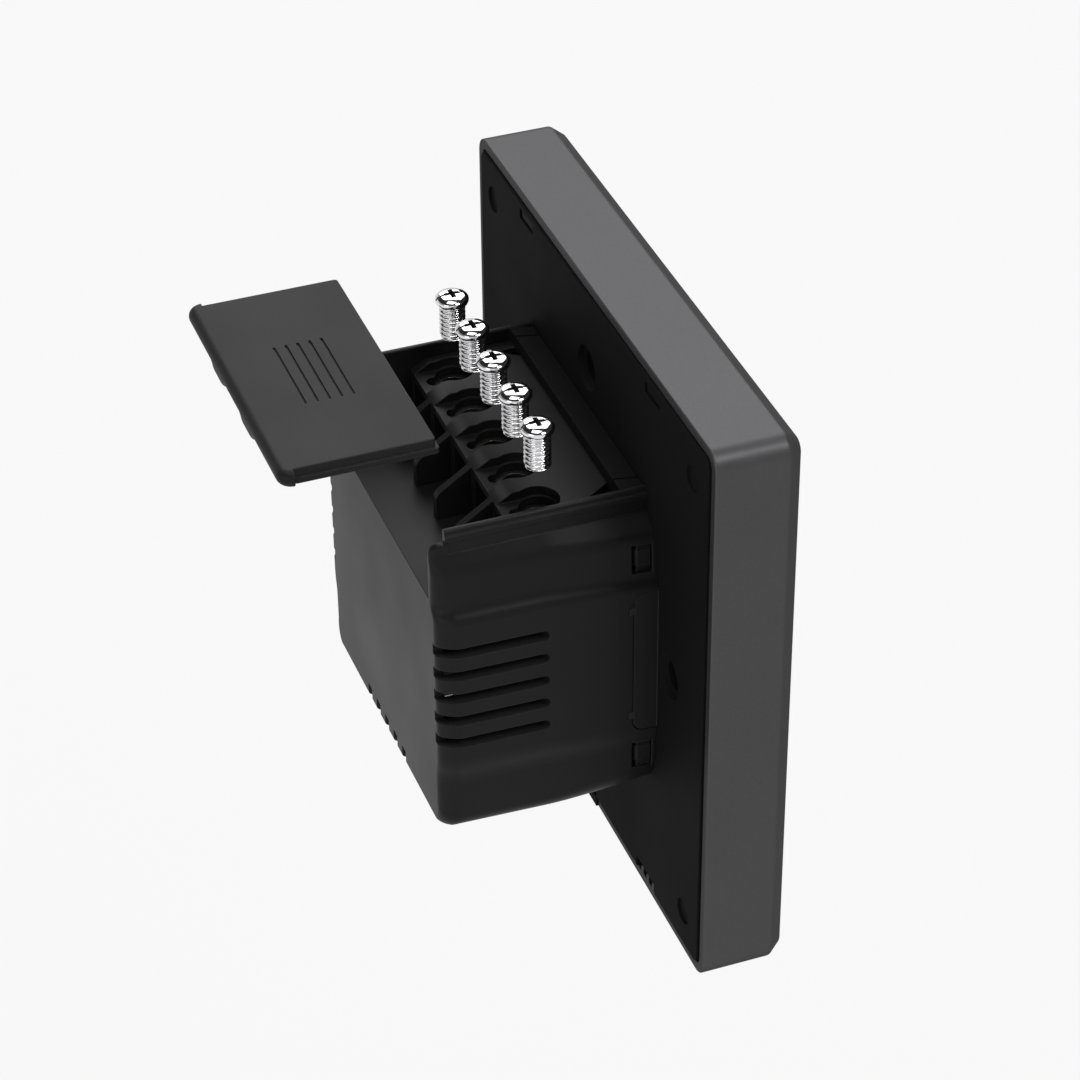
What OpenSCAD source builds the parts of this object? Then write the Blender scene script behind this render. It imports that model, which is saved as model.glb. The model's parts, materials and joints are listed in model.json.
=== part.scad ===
// Square touch control panel for a flush wall box, seen with its terminals open.
// The room side faces -Y, the wall side +Y and the top +Z. Sizes are in millimetres.
// The origin is the middle of the fixing holes, on the plane of the finished wall.
// At rest the terminal cover and its screws are lifted off, as they are for wiring.

/* [Metal frame] */
// Width and height of the frame
panel_size = 86; // [84:0.5:92]
// Depth of the frame, front edge to back rim
frame_depth = 12; // [11.5:0.1:15]
// Thickness of the frame's walls
frame_wall = 1.4; // [1.1:0.1:1.8]
// Slope cut from the frame's front edge
frame_chamfer = 1.5; // [0.8:0.1:2]
// Radius of the frame's four corners
frame_corner_r = 3; // [2.5:0.1:5]
// How far the back rim stops short of the wall
frame_recess = 0.3; // [0.1:0.1:0.6]
// Width of the ledge inside the frame that the glass is glued to
ledge_w = 3; // [2.5:0.1:4]
// Thickness of that ledge
ledge_t = 1; // [0.8:0.1:1.3]
// Width of the small key ribs on the bottom wall
key_rib_w = 1; // [0.6:0.1:1.2]
// Distance from the middle to the middle key rib
key_rib_x = 22.9; // [18:0.1:28]

/* [Front glass and display] */
// Thickness of the glass
glass_t = 1.5; // [1:0.1:2]
// Width of the metal lip that shows round the glass
glass_lip = 2.5; // [2.1:0.1:2.8]
// Thickness of the glue gasket behind the glass
gasket_t = 0.3; // [0.2:0.1:0.5]
// Distance from the frame's outside to the display's edge
display_border = 7; // [6:0.5:13]
// Thickness of the display
display_t = 2.4; // [2:0.1:2.6]

/* [Front electronics] */
// Thickness of the carrier's web behind the display
web_t = 1; // [0.8:0.1:1.2]
// Thickness of the carrier's outer wall
carrier_wall = 1.2; // [1:0.1:1.6]
// Height of the posts that hold the main board
post_h = 1.8; // [1.6:0.1:2]
// Radius of those posts
post_r = 2.5; // [2:0.1:3]
// Distance from the frame's outside to the main board's edge
board_border = 9; // [7:0.5:10]
// Distance from the main board's edge to its posts
post_inset = 3; // [2.5:0.5:6]
// Thickness of the main board
board_t = 1.2; // [1:0.1:1.4]
// Radius of the small screws' threads
small_screw_r = 1; // [0.8:0.1:1.1]
// Distance between two contact pins
pin_pitch = 2.54; // [2:0.01:2.54]
// Number of contact pins in each of the two rows
pin_count = 5; // [3:1:5]
// Width of a square contact pin
pin_w = 0.64; // [0.5:0.01:0.8]

/* [Mounting plate] */
// Thickness of the plate
plate_t = 2; // [1.6:0.1:2.2]
// Distance between opposite fixing holes
fixing_pitch = 60; // [60:0.1:62]
// Radius of a fixing hole
fixing_r = 2.1; // [1.8:0.05:2.4]
// Radius of the dish round a fixing hole
dish_r = 3.1; // [2.8:0.1:3.6]
// Distance of the snap windows from the middle line
snap_x = 23; // [15:0.5:30]
// Width of a snap window
snap_w = 5; // [4:0.1:7]
// Width of the pry tab at the bottom
pry_tab_w = 7.8; // [5:0.1:12]

/* [Rear box] */
// How far the box reaches into the wall
box_depth = 29.7; // [28:0.1:34]
// Half width of the box at the wall plane
box_base_half = 26.3; // [25.9:0.1:27.5]
// Half width of the box at its waist
box_waist_half = 24.7; // [24.5:0.1:25.4]
// Half width of the box at its back
box_back_half = 24.3; // [24:0.1:24.6]
// Distance of the waist from the wall plane
box_waist_y = 15; // [12:0.5:20]
// Height of the box's underside below the middle, at the wall plane
box_base_drop = 25.3; // [24.5:0.1:27]
// The same at the back
box_back_drop = 23.3; // [22.8:0.1:24.2]
// Thickness of the box's walls
box_wall = 1.3; // [1:0.1:1.5]
// Radius of the box's two lower edges
box_corner_r = 3.8; // [2.5:0.1:5]
// Radius of the edges round the back face
box_edge_r = 2; // [1:0.1:2.5]
// Step between the vent band and the narrower top
top_step = 1.4; // [1:0.1:1.8]
// Step between the vent band and the bottom
bottom_step = 0.6; // [0.2:0.1:1]
// Half height of the vent band
band_half = 12.2; // [11.6:0.1:12.6]
// Distance of the vent slots' round ends from the wall plane
vent_front_y = 14.6; // [13:0.1:20]
// Width of a vent slot
vent_w = 1.6; // [1:0.1:2.2]
// Distance between two vent slots
vent_pitch = 3.7; // [3:0.05:4.4]
// How far the middle side vent lies below the middle
vent_drop = 0.35; // [0:0.05:0.8]
// Number of vent slots on each side
vent_count = 5; // [3:2:5]
// How far a vent slot reaches round onto the back face
vent_wrap = 2.5; // [1.5:0.1:4]

/* [Wiring bay] */
// Height of the bay's floor above the middle
bay_floor_z = 14.2; // [14:0.1:15]
// Height of the bay's side walls
bay_top_z = 24.8; // [24.8:0.1:27]
// Half width inside the bay
bay_half = 20.7; // [20.5:0.1:20.9]
// Thickness of the bay's side walls
bay_wall = 0.8; // [0.6:0.1:1]
// Where the bay's side walls end
bay_back_y = 27.6; // [26.5:0.1:28]
// Distance of the bay's front wall from the wall plane
bay_front_y = 3.4; // [3:0.1:3.6]

/* [Terminals] */
// Distance between two terminals
terminal_pitch = 8.25; // [7.9:0.05:8.3]
// Where the terminal block ends at the back
block_back_y = 18; // [17.5:0.1:18.5]
// Width of the bars between the terminals
bar_w = 3.2; // [2.4:0.1:3.4]
// Height of the bars' tops above the middle
bar_top_z = 22.9; // [22.8:0.1:23.5]
// Depth of the channels between the bars
channel_depth = 1.4; // [1:0.1:1.6]
// Thickness of the fins behind the bars
fin_t = 1.1; // [0.8:0.1:1.4]
// How far the fins reach behind the block
fin_reach = 5.1; // [4:0.1:7]
// Distance of the screws from the wall plane
screw_y = 13.1; // [12.6:0.1:13.2]
// Radius of a screw head
head_r = 2.3; // [2:0.05:2.35]
// Height of a screw head
head_h = 1.7; // [1.4:0.1:1.8]
// Outer radius of a screw's thread
thread_r = 1.8; // [1.5:0.05:1.9]
// Length of a screw below its head
shank_h = 5.3; // [5:0.1:5.5]
// Distance between two turns of the thread
thread_pitch = 0.7; // [0.5:0.05:0.8]
// Radius of the hole for the wire
wire_r = 1.6; // [1.2:0.05:1.7]
// How far the screws are lifted at rest
screw_lift = 12.3; // [6:0.1:12.4]

/* [Terminal cover] */
// Thickness of the cover
cover_t = 2.2; // [2:0.1:2.6]
// Thickness of its guide rails
rail_t = 0.9; // [0.7:0.1:1.1]
// Depth of the cover, front to back
cover_depth = 21.1; // [19:0.1:22]
// Thickness of the lip along its back edge
lip_t = 2; // [1.6:0.1:2.1]
// How far the lip reaches below the cover's top
lip_h = 2.3; // [2.2:0.1:3]
// Width of a finger tab under the lip
tab_w = 6; // [5:0.1:8]
// Distance of the finger tabs from the middle
tab_x = 6.5; // [5.5:0.1:8]
// How far the finger tabs hang below the lip
tab_h = 0.8; // [0.5:0.1:2]
// How far back the cover is moved at rest
cover_back = 18.9; // [18.8:0.1:24]
// How far the cover is lifted at rest
cover_lift = 13.2; // [13:0.1:15]

/* [Power electronics] */
// Thickness of the power board
power_t = 1.6; // [1.2:0.1:1.6]
// Width of a relay
relay_w = 10.4; // [8:0.1:10.5]
// Depth of a relay
relay_d = 15.3; // [10:0.1:17]
// Height of a relay
relay_h = 14; // [10:0.1:14.4]
// Number of relays
relay_count = 3; // [1:1:3]
// Radius of a capacitor
capacitor_r = 4; // [3:0.1:4.2]
// Length of a capacitor
capacitor_h = 14; // [8:0.5:16]

/* [Hidden] */
$fn = 48;

cut = 1;
fit = 0.15;
seat = 0.1;

// Depths inside the front panel, from the room side to the wall
frame_back_y = -frame_recess;
frame_front_y = frame_back_y - frame_depth;
glass_back_y = frame_front_y + glass_t;
ledge_front_y = glass_back_y + gasket_t;
ledge_back_y = ledge_front_y + ledge_t;
web_front_y = glass_back_y + display_t;
web_back_y = web_front_y + web_t;
board_front_y = web_back_y + post_h;
board_back_y = board_front_y + board_t;
carrier_back_y = -plate_t - 2 * seat;
frame_inner = panel_size - 2 * frame_wall;
glass_size = panel_size - 2 * glass_lip;
ledge_opening = panel_size - 2 * (frame_wall + ledge_w);
display_size = panel_size - 2 * display_border;
board_size = panel_size - 2 * board_border;
post_at = board_size / 2 - post_inset;
plate_size = frame_inner - 2 * fit;
carrier_size = frame_inner - 2 * fit;
inner_corner_r = frame_corner_r - frame_wall;
small_head_r = 1.9 * small_screw_r;
small_head_h = 1.1;

// Features shared by the plate, the carrier and the frame
snap_h = 1.6;
snap_z = carrier_size / 2 - carrier_wall - snap_h / 2 + 2 * fit;
dimple_inset_x = 5.05;
dimple_inset_z = 5.65;
dimple_at = [plate_size / 2 - dimple_inset_x, plate_size / 2 - dimple_inset_z];
dimple_r = 1.9;
notch_depth = 1.5;
key_rib_pitch = 1.95;
key_rib_h = 1.1;
key_rib_d = 0.7;
key_rib_numbers = [-1, 0, 1];
connector_w = pin_count * pin_pitch;
connector_h = 2 * pin_pitch;

// Heights and depths in the wiring bay
terminal_count = 5;
bay_outer = bay_half + bay_wall;
seam_x = bay_half - 2.4;
seam_w = 0.3;
seam_depth = 1.5;
floor_t = 1.4;
shoulder_top_z = 21.2;
shoulder_foot_z = 18.9;
channel_z = bar_top_z - channel_depth;
block_half = bay_half - 2 * fit;
block_floor_z = bay_floor_z - floor_t + seat;
deck_z = channel_z - 0.6;
power_back_y = bay_front_y + power_t;
power_top_z = deck_z - 5 * seat;
power_bottom_z = -19.5;
clamp_half = 2.6;
clamp_front_reach = 4.5;
clamp_back_reach = 2.7;
clamp_h = 6.9;
clamp_front_y = screw_y - clamp_front_reach;
clamp_back_y = screw_y + clamp_back_reach;
clamp_top_z = channel_z - 1.2;
clamp_bottom_z = clamp_top_z - clamp_h;
wire_z = clamp_top_z - 1.5 - wire_r;
head_home_z = wire_z - wire_r + seat + shank_h;
screw_hole_r = head_r + 0.35;
terminal_numbers = [0 : terminal_count - 1];
bar_numbers = [0 : terminal_count - 2];

// The cover where it closes
cover_bottom_z = bar_top_z + seat;
cover_top_z = cover_bottom_z + cover_t;
cover_back_y = bay_back_y + seat + lip_t;
cover_front_y = cover_back_y - cover_depth;
rail_half = bay_half - fit;
lid_half = rail_half - 0.25;

// Catches that hold the box on the plate
catch_z = 16;
catch_half = 2;
catch_t = 1.2;
catch_h = 4.8;
window_front_y = 0.5;
window_back_y = 3.2;
relief_half = 11.4;
relief_depth = 3.4;
relief_r = 1.6;
collar_h = 5.2;
locator_z = 8.7;
locator_w = 1;

// Power board posts and the parts on the board
power_half = bay_half - 2 * fit;
power_post_x = power_half - 2.4;
power_post_low = 2.5;
power_post_high = 10.4;
power_post_z = [power_bottom_z + power_post_low, power_top_z - power_post_high];
power_post_r = 2.1;
power_screw_grip = 2.5;
relay_bottom_z = power_bottom_z + 0.3;
upper_row_z = relay_bottom_z + relay_h + 1;
transformer_size = [14, 16, 13];
transformer_x = -power_half / 2 + 1.6;
capacitor_inset = 6.2;
capacitor_gap = 0.6;
capacitor_x = [
    power_half - capacitor_inset - 2 * capacitor_r - capacitor_gap,
    power_half - capacitor_inset
];
capacitor_z = upper_row_z + capacitor_r + 3.4;
fuse_r = 1.6;
fuse_length = 12;

// Parts on the main board
can_size = [24, 1.5, 22];
can_bottom_z = 4;
can_sheet = 0.2;
speaker_size = [20, 1.9, 13];
speaker_edge = 5;
speaker_bottom_z = speaker_edge - board_size / 2;
speaker_corner_r = 3;
microphone_size = [3.5, 1, 2.5];
microphone_x = 20;
microphone_bottom_z = board_size / 2 - 3.5;

function mix(a, b, share) = a + (b - a) * share;
function terminal_x(number) = (number - (terminal_count - 1) / 2) * terminal_pitch;
function bar_x(number) = terminal_x(number) + terminal_pitch / 2;

// Half width of the box, and the drop of its underside, at a distance behind the wall plane
function box_half_at(y) = y < box_waist_y
    ? mix(box_base_half, box_waist_half, y / box_waist_y)
    : mix(box_waist_half, box_back_half, (y - box_waist_y) / (box_depth - box_waist_y));
function box_drop_at(y) = mix(box_base_drop, box_back_drop, y / box_depth);

// One lower corner of the box as an arc, from the side to the underside
function corner_arc(half, drop, radius, steps) = [
    for (step = [0 : steps])
        let (turn = 90 * step / steps)
        [half - radius + radius * cos(turn), -drop + radius - radius * sin(turn)]
];

// Right half of an outline, its mirror image added, as a ring of points at depth y
function mirrored(half_points) = concat(
    half_points,
    [for (index = [len(half_points) - 1 : -1 : 0]) [-half_points[index][0], half_points[index][1]]]
);
function ring_at(points, y) = [for (point = points) [point[0], y, point[1]]];

// Outside of the box, drawn in by inset where its back edges are rounded, and less so above the band
function outer_half(y, inset) = let (
    half = box_half_at(y) - inset,
    upper_half = half + inset / 2
) concat(
    [
        [bay_outer + seat - inset / 5, shoulder_top_z],
        [upper_half - top_step, shoulder_foot_z],
        [upper_half - top_step, band_half + 0.7],
        [half, band_half],
        [half, -band_half],
        [half - bottom_step, -band_half - 0.7]
    ],
    corner_arc(half - bottom_step, box_drop_at(y) - inset, box_corner_r, 6)
);
function outer_ring(y, inset) = ring_at(mirrored(outer_half(y, inset)), y);

// Inside of the box, one wall thickness in
function inner_half(y) = let (half = box_half_at(y) - box_wall) concat(
    [
        [half - top_step, bay_floor_z - floor_t],
        [half - top_step, band_half - 0.9],
        [half, band_half - 1.5],
        [half, -band_half + 0.2],
        [half - bottom_step, -band_half - 0.5]
    ],
    corner_arc(half - bottom_step, box_drop_at(y) - box_wall, box_corner_r - box_wall, 4)
);
function inner_ring(y) = ring_at(mirrored(inner_half(y)), y);

// Inner face of the box's side wall behind a catch, at the catch's tip
function catch_wall(side_z) =
    box_half_at(catch_h) - box_wall - (side_z > 0 ? top_step : bottom_step);

// Solid skinned over mirrored rings of equally many points, from the room side to the wall.
// Each end is closed by strips between a point and its mirror image.
module skin(rings) {
    count = len(rings[0]);
    last = len(rings) - 1;
    sides = [
        for (ring = [0 : last - 1])
            for (index = [0 : count - 1])
                let (
                    a = ring * count + index,
                    b = ring * count + (index + 1) % count
                )
                each [[a, b + count, b], [a, a + count, b + count]]
    ];
    front = [
        for (index = [0 : count / 2 - 2])
            [index, index + 1, count - 2 - index, count - 1 - index]
    ];
    back = [for (strip = front) [for (corner = [3 : -1 : 0]) last * count + strip[corner]]];
    polyhedron(points = [for (ring = rings) each ring], faces = concat(sides, front, back));
}

// Block between two corners
module block(low, high) {
    translate(low)
        cube(high - low);
}

// Cylinder along Y from one depth to another
module rod_y(x, z, radius, from_y, to_y) {
    translate([x, from_y, z])
        rotate([-90, 0, 0])
            cylinder(r = radius, h = to_y - from_y);
}

// Square plate with rounded corners, standing in the wall plane's direction
module rounded_plate(size, radius, from_y, to_y) {
    half = size / 2;
    block([-half, from_y, -half + radius], [half, to_y, half - radius]);
    block([-half + radius, from_y, -half], [half - radius, to_y, half]);
    for (x = [-1, 1], z = [-1, 1])
        rod_y(x * (half - radius), z * (half - radius), radius, from_y, to_y);
}

// Small pan-head screw whose head sits at depth y and whose thread points to the room
module small_screw(x, y, z, length) {
    rod_y(x, z, small_head_r, y, y + small_head_h);
    rod_y(x, z, small_screw_r, y - length, y + small_head_h / 2);
}

// Front panel
module metal_frame() {
    color([0.25, 0.25, 0.26])
    difference() {
        union() {
            difference() {
                hull() {
                    rounded_plate(panel_size, frame_corner_r, frame_front_y + frame_chamfer, frame_back_y);
                    rounded_plate(
                        panel_size - 2 * frame_chamfer, frame_corner_r - frame_chamfer,
                        frame_front_y, frame_back_y
                    );
                }
                rounded_plate(
                    glass_size + 2 * seat, inner_corner_r, frame_front_y - cut, ledge_front_y
                );
                rounded_plate(ledge_opening, inner_corner_r, frame_front_y - cut, frame_back_y + cut);
                rounded_plate(frame_inner, inner_corner_r, ledge_back_y, frame_back_y + cut);
            }
            key_ribs();
        }
        pry_notch();
    }
}

module key_ribs() {
    wall_z = -frame_inner / 2;
    for (side = [-1, 1], number = key_rib_numbers) {
        x = side * key_rib_x + number * key_rib_pitch;
        block(
            [x - key_rib_w / 2, frame_back_y - key_rib_d, wall_z - seat],
            [x + key_rib_w / 2, frame_back_y, wall_z + key_rib_h]
        );
    }
}

module pry_notch() {
    half = pry_tab_w / 2 + fit;
    block(
        [-half, frame_back_y - notch_depth, -panel_size / 2 - cut],
        [half, frame_back_y + cut, -frame_inner / 2 + fit]
    );
}

module front_glass() {
    color([0.03, 0.03, 0.035])
    rounded_plate(glass_size, inner_corner_r, frame_front_y, glass_back_y);
}

module glass_gasket() {
    color([0.1, 0.1, 0.1])
    difference() {
        rounded_plate(glass_size, inner_corner_r, glass_back_y, ledge_front_y);
        rounded_plate(ledge_opening, inner_corner_r, glass_back_y - cut, ledge_front_y + cut);
    }
}

module display_module() {
    color([0.2, 0.2, 0.22])
    rounded_plate(display_size, 1, glass_back_y, web_front_y);
}

module inner_carrier() {
    color([0.12, 0.12, 0.12])
    difference() {
        union() {
            difference() {
                rounded_plate(carrier_size, inner_corner_r, ledge_back_y, carrier_back_y);
                rounded_plate(
                    carrier_size - 2 * carrier_wall, inner_corner_r / 2, web_back_y, carrier_back_y + cut
                );
                rounded_plate(display_size + 2 * fit, 1, ledge_back_y - cut, web_front_y);
            }
            for (x = [-1, 1], z = [-1, 1])
                rod_y(x * post_at, z * post_at, post_r, web_front_y, board_front_y);
            for (side = [-1, 1])
                snap_tongue(side * snap_x);
        }
        for (x = [-1, 1], z = [-1, 1])
            rod_y(x * post_at, z * post_at, small_screw_r, web_front_y + web_t / 2, board_front_y + cut);
    }
}

// Tongue of the carrier that reaches into a window of the plate
module snap_tongue(x) {
    half = snap_w / 2 - 2 * fit;
    root_length = 2;
    block(
        [x - half, carrier_back_y - root_length, snap_z - snap_h / 2 + 2 * fit],
        [x + half, carrier_back_y, snap_z + snap_h / 2]
    );
    block(
        [x - half, carrier_back_y - root_length, snap_z - snap_h / 2 + 2 * fit],
        [x + half, -2 * seat, snap_z + snap_h / 2 - 2 * fit]
    );
}

module main_board() {
    color([0.05, 0.2, 0.12])
    difference() {
        rounded_plate(board_size, 1, board_front_y, board_back_y);
        for (x = [-1, 1], z = [-1, 1])
            rod_y(
                x * post_at, z * post_at, small_screw_r + fit, board_front_y - cut, board_back_y + cut
            );
    }
}

module main_board_screws() {
    color("silver")
    for (x = [-1, 1], z = [-1, 1])
        small_screw(x * post_at, board_back_y, z * post_at, board_t + post_h);
}

module shield_can() {
    color("silver")
    translate([-can_size[0] / 2, board_front_y - can_size[1], can_bottom_z])
        difference() {
            cube(can_size);
            block(
                [can_sheet, can_sheet, can_sheet],
                [can_size[0] - can_sheet, can_size[1] + cut, can_size[2] - can_sheet]
            );
        }
}

module speaker() {
    size = speaker_size;
    radius = speaker_corner_r;
    color([0.15, 0.15, 0.15])
    translate([-size[0] / 2, board_back_y, speaker_bottom_z]) {
        block([radius, 0, 0], [size[0] - radius, size[1], size[2]]);
        block([0, 0, radius], [size[0], size[1], size[2] - radius]);
        for (x = [radius, size[0] - radius], z = [radius, size[2] - radius])
            rod_y(x, z, radius, 0, size[1]);
    }
}

module microphones() {
    size = microphone_size;
    color("gold")
    for (side = [-1, 1])
        translate([side * microphone_x - size[0] / 2, board_front_y - size[1], microphone_bottom_z])
            cube(size);
}

// Places for the two rows of contacts
module at_pins() {
    for (column = [0 : pin_count - 1], row = [-0.5, 0.5])
        translate([(column - (pin_count - 1) / 2) * pin_pitch, 0, row * pin_pitch])
            children();
}

module pin_header() {
    color([0.8, 0.65, 0.3]) {
        block(
            [-connector_w / 2, board_back_y, -connector_h / 2],
            [connector_w / 2, board_back_y + 1, connector_h / 2]
        );
        at_pins()
            block([-pin_w / 2, board_back_y, -pin_w / 2], [pin_w / 2, 2, pin_w / 2]);
    }
}

// Wall side
module mounting_plate() {
    half = plate_size / 2;
    color([0.06, 0.06, 0.065])
    difference() {
        union() {
            rounded_plate(plate_size, inner_corner_r, -plate_t, 0);
            block([-pry_tab_w / 2, fit - frame_recess - notch_depth, -panel_size / 2 + seat],
                [pry_tab_w / 2, 0, -half + cut]);
            collar_strips();
            for (side = [-1, 1], z = [-catch_z, catch_z])
                box_catch(side, z);
            for (side = [-1, 1], z = power_post_z)
                rod_y(side * power_post_x, z, power_post_r, -plate_t / 2, bay_front_y);
        }
        for (at = [[1, 0], [-1, 0], [0, 1], [0, -1]])
            fixing_hole(at * fixing_pitch / 2);
        for (side = [-1, 1])
            block(
                [side * snap_x - snap_w / 2, -plate_t - cut, snap_z - snap_h / 2],
                [side * snap_x + snap_w / 2, cut, snap_z + snap_h / 2]
            );
        for (x = [-1, 1], z = [-1, 1])
            rod_y(x * dimple_at[0], z * dimple_at[1], dimple_r, -0.4, cut);
        for (side = [-1, 1], z = power_post_z)
            rod_y(side * power_post_x, z, small_screw_r, -plate_t / 2, bay_front_y + cut);
        for (side = [-1, 1])
            key_rib_window(side * key_rib_x);
        block(
            [-connector_w / 2 - 4 * fit, -plate_t - cut, -connector_h / 2 - 4 * fit],
            [connector_w / 2 + 4 * fit, cut, connector_h / 2 + 4 * fit]
        );
    }
}

// Through hole with a shallow dish at the wall
module fixing_hole(at) {
    dish_depth = 0.7;
    rod_y(at[0], at[1], fixing_r, -plate_t - cut, cut);
    rod_y(at[0], at[1], dish_r, -dish_depth, cut);
}

module key_rib_window(x) {
    half = key_rib_pitch + key_rib_w / 2 + 0.9;
    block(
        [x - half, -plate_t - cut, -plate_size / 2 - cut],
        [x + half, cut, -frame_inner / 2 + key_rib_h + 2 * fit]
    );
}

// Low strips inside the box's side walls, with two small locators each
module collar_strips() {
    outer = box_half_at(collar_h) - box_wall - fit;
    for (side = [-1, 1])
        mirror([side < 0 ? 1 : 0, 0, 0]) {
            block([outer - catch_t, -plate_t / 2, -relief_half], [outer, collar_h, band_half - 2]);
            for (z = [-locator_z, locator_z])
                block(
                    [outer - seat, relief_depth - locator_w / 2, z - locator_w / 2],
                    [outer + box_wall, relief_depth + locator_w / 2, z + locator_w / 2]
                );
        }
}

// Post with a ramped nib between two ribs, standing in a window of the box
module box_catch(side, z) {
    face = catch_wall(z) - fit;
    reach = face + box_wall;
    rib = 0.7;
    mirror([side < 0 ? 1 : 0, 0, 0]) {
        block([face - catch_t, -plate_t / 2, z - catch_half], [face, catch_h, z + catch_half]);
        translate([0, 0, z - catch_half + rib])
            linear_extrude(2 * (catch_half - rib))
                polygon([
                    [face - seat, window_front_y + seat],
                    [reach - 2 * fit, window_front_y + seat],
                    [face - seat, window_back_y - 2 * seat]
                ]);
        for (rib_z = [z - catch_half + seat, z + catch_half - rib - seat])
            block(
                [face - seat, window_front_y + seat, rib_z],
                [reach, window_front_y + seat + 2 * rib, rib_z + rib]
            );
    }
}

module rear_box() {
    color([0.07, 0.07, 0.075])
    difference() {
        union() {
            box_shell();
            for (side = [-1, 1])
                mirror([side < 0 ? 1 : 0, 0, 0])
                    bay_bead();
        }
        for (side = [-1, 1], z = [-catch_z, catch_z])
            mirror([side < 0 ? 1 : 0, 0, 0])
                catch_pocket(z);
        for (side = [-1, 1])
            mirror([side < 0 ? 1 : 0, 0, 0])
                wall_relief();
        vent_slots();
        for (side = [-1, 1])
            block(
                [side * seam_x - seam_w / 2, -cut, bay_top_z - seam_depth],
                [side * seam_x + seam_w / 2, bay_front_y + cut, bay_top_z + cut]
            );
    }
}

module box_shell() {
    back_steps = 3;
    fillet = [
        for (step = [0 : back_steps])
            let (turn = 90 * step / back_steps)
            outer_ring(box_depth - box_edge_r * (1 - sin(turn)), box_edge_r * (1 - cos(turn)))
    ];
    difference() {
        union() {
            skin(concat([outer_ring(0, 0), outer_ring(box_waist_y, 0)], fillet));
            block([-bay_outer, 0, shoulder_top_z - cut], [bay_outer, bay_back_y, bay_top_z]);
        }
        skin([inner_ring(-cut), inner_ring(box_waist_y), inner_ring(box_depth - box_wall)]);
        block([-bay_half, bay_front_y, bay_floor_z], [bay_half, box_depth + cut, bay_top_z + cut]);
        block(
            [-bay_half, bay_front_y, bay_floor_z - floor_t - cut],
            [bay_half, block_back_y + seat, bay_top_z + cut]
        );
    }
}

// Small rail along the outside of a bay wall
module bay_bead() {
    bead = 0.35;
    block(
        [bay_outer - bay_wall / 2, bay_front_y, bay_top_z - 1.7],
        [bay_outer + bead, bay_back_y, bay_top_z - 0.7]
    );
}

module catch_pocket(z) {
    face = catch_wall(z) - fit;
    block(
        [face - catch_t - fit, -cut, z - catch_half - fit],
        [face + fit, catch_h + fit, z + catch_half + fit]
    );
    block(
        [face - fit, window_front_y, z - catch_half - fit],
        [box_base_half + cut, window_back_y, z + catch_half + fit]
    );
}

// Cut that frees the side wall from the plate between its two catches
module wall_relief() {
    from_x = box_half_at(collar_h) - box_wall - fit;
    to_x = box_base_half + cut;
    block([from_x, -cut, -relief_half], [to_x, relief_depth - relief_r, relief_half]);
    block([from_x, -cut, -relief_half + relief_r], [to_x, relief_depth, relief_half - relief_r]);
    for (z = [-1, 1]) {
        translate([from_x, relief_depth - relief_r, z * (relief_half - relief_r)])
            rotate([0, 90, 0])
                cylinder(r = relief_r, h = to_x - from_x);
        block(
            [from_x, -cut, z * locator_z - locator_w / 2 - seat],
            [to_x, relief_depth + locator_w / 2 + seat, z * locator_z + locator_w / 2 + seat]
        );
    }
}

// Slots through both side walls and the underside, each open round the back edge
module vent_slots() {
    vent_half = vent_w / 2;
    start_y = vent_front_y + vent_half;
    for (number = [0 : vent_count - 1]) {
        at = (number - (vent_count - 1) / 2) * vent_pitch;
        for (side = [-1, 1])
            mirror([side < 0 ? 1 : 0, 0, 0]) {
                from_x = box_back_half - vent_wrap;
                side_z = at - vent_drop;
                block(
                    [from_x, start_y, side_z - vent_half],
                    [box_base_half + cut, box_depth + cut, side_z + vent_half]
                );
                translate([from_x, start_y, side_z])
                    rotate([0, 90, 0])
                        cylinder(r = vent_half, h = box_base_half + cut - from_x);
            }
        to_z = -box_back_drop + vent_wrap;
        block([at - vent_half, start_y, -box_base_drop - cut], [at + vent_half, box_depth + cut, to_z]);
        translate([at, start_y, -box_base_drop - cut])
            cylinder(r = vent_half, h = to_z + box_base_drop + cut);
    }
}

module terminal_block() {
    color([0.08, 0.08, 0.085])
    difference() {
        union() {
            block([-block_half, power_back_y, block_floor_z], [block_half, block_back_y, bar_top_z]);
            block([-block_half, bay_front_y, deck_z], [block_half, block_back_y, bar_top_z]);
            for (number = bar_numbers)
                terminal_fin(bar_x(number));
        }
        for (number = terminal_numbers)
            translate([terminal_x(number), 0, 0])
                terminal_recess();
        bar_slope();
        for (side = [-1, 1])
            mirror([side < 0 ? 1 : 0, 0, 0])
                corner_pocket();
    }
}

// Pointed pocket at a front corner of the block, in line with the seam of the bay's front wall
module corner_pocket() {
    pocket_w = 2;
    pocket_length = 3.4;
    translate([0, 0, channel_z])
        linear_extrude(channel_depth + cut)
            polygon([
                [seam_x + seam_w / 2, bay_front_y - cut],
                [seam_x - pocket_w, bay_front_y - cut],
                [seam_x - pocket_w, bay_front_y + seat],
                [seam_x + seam_w / 2, bay_front_y + pocket_length]
            ]);
}

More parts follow.
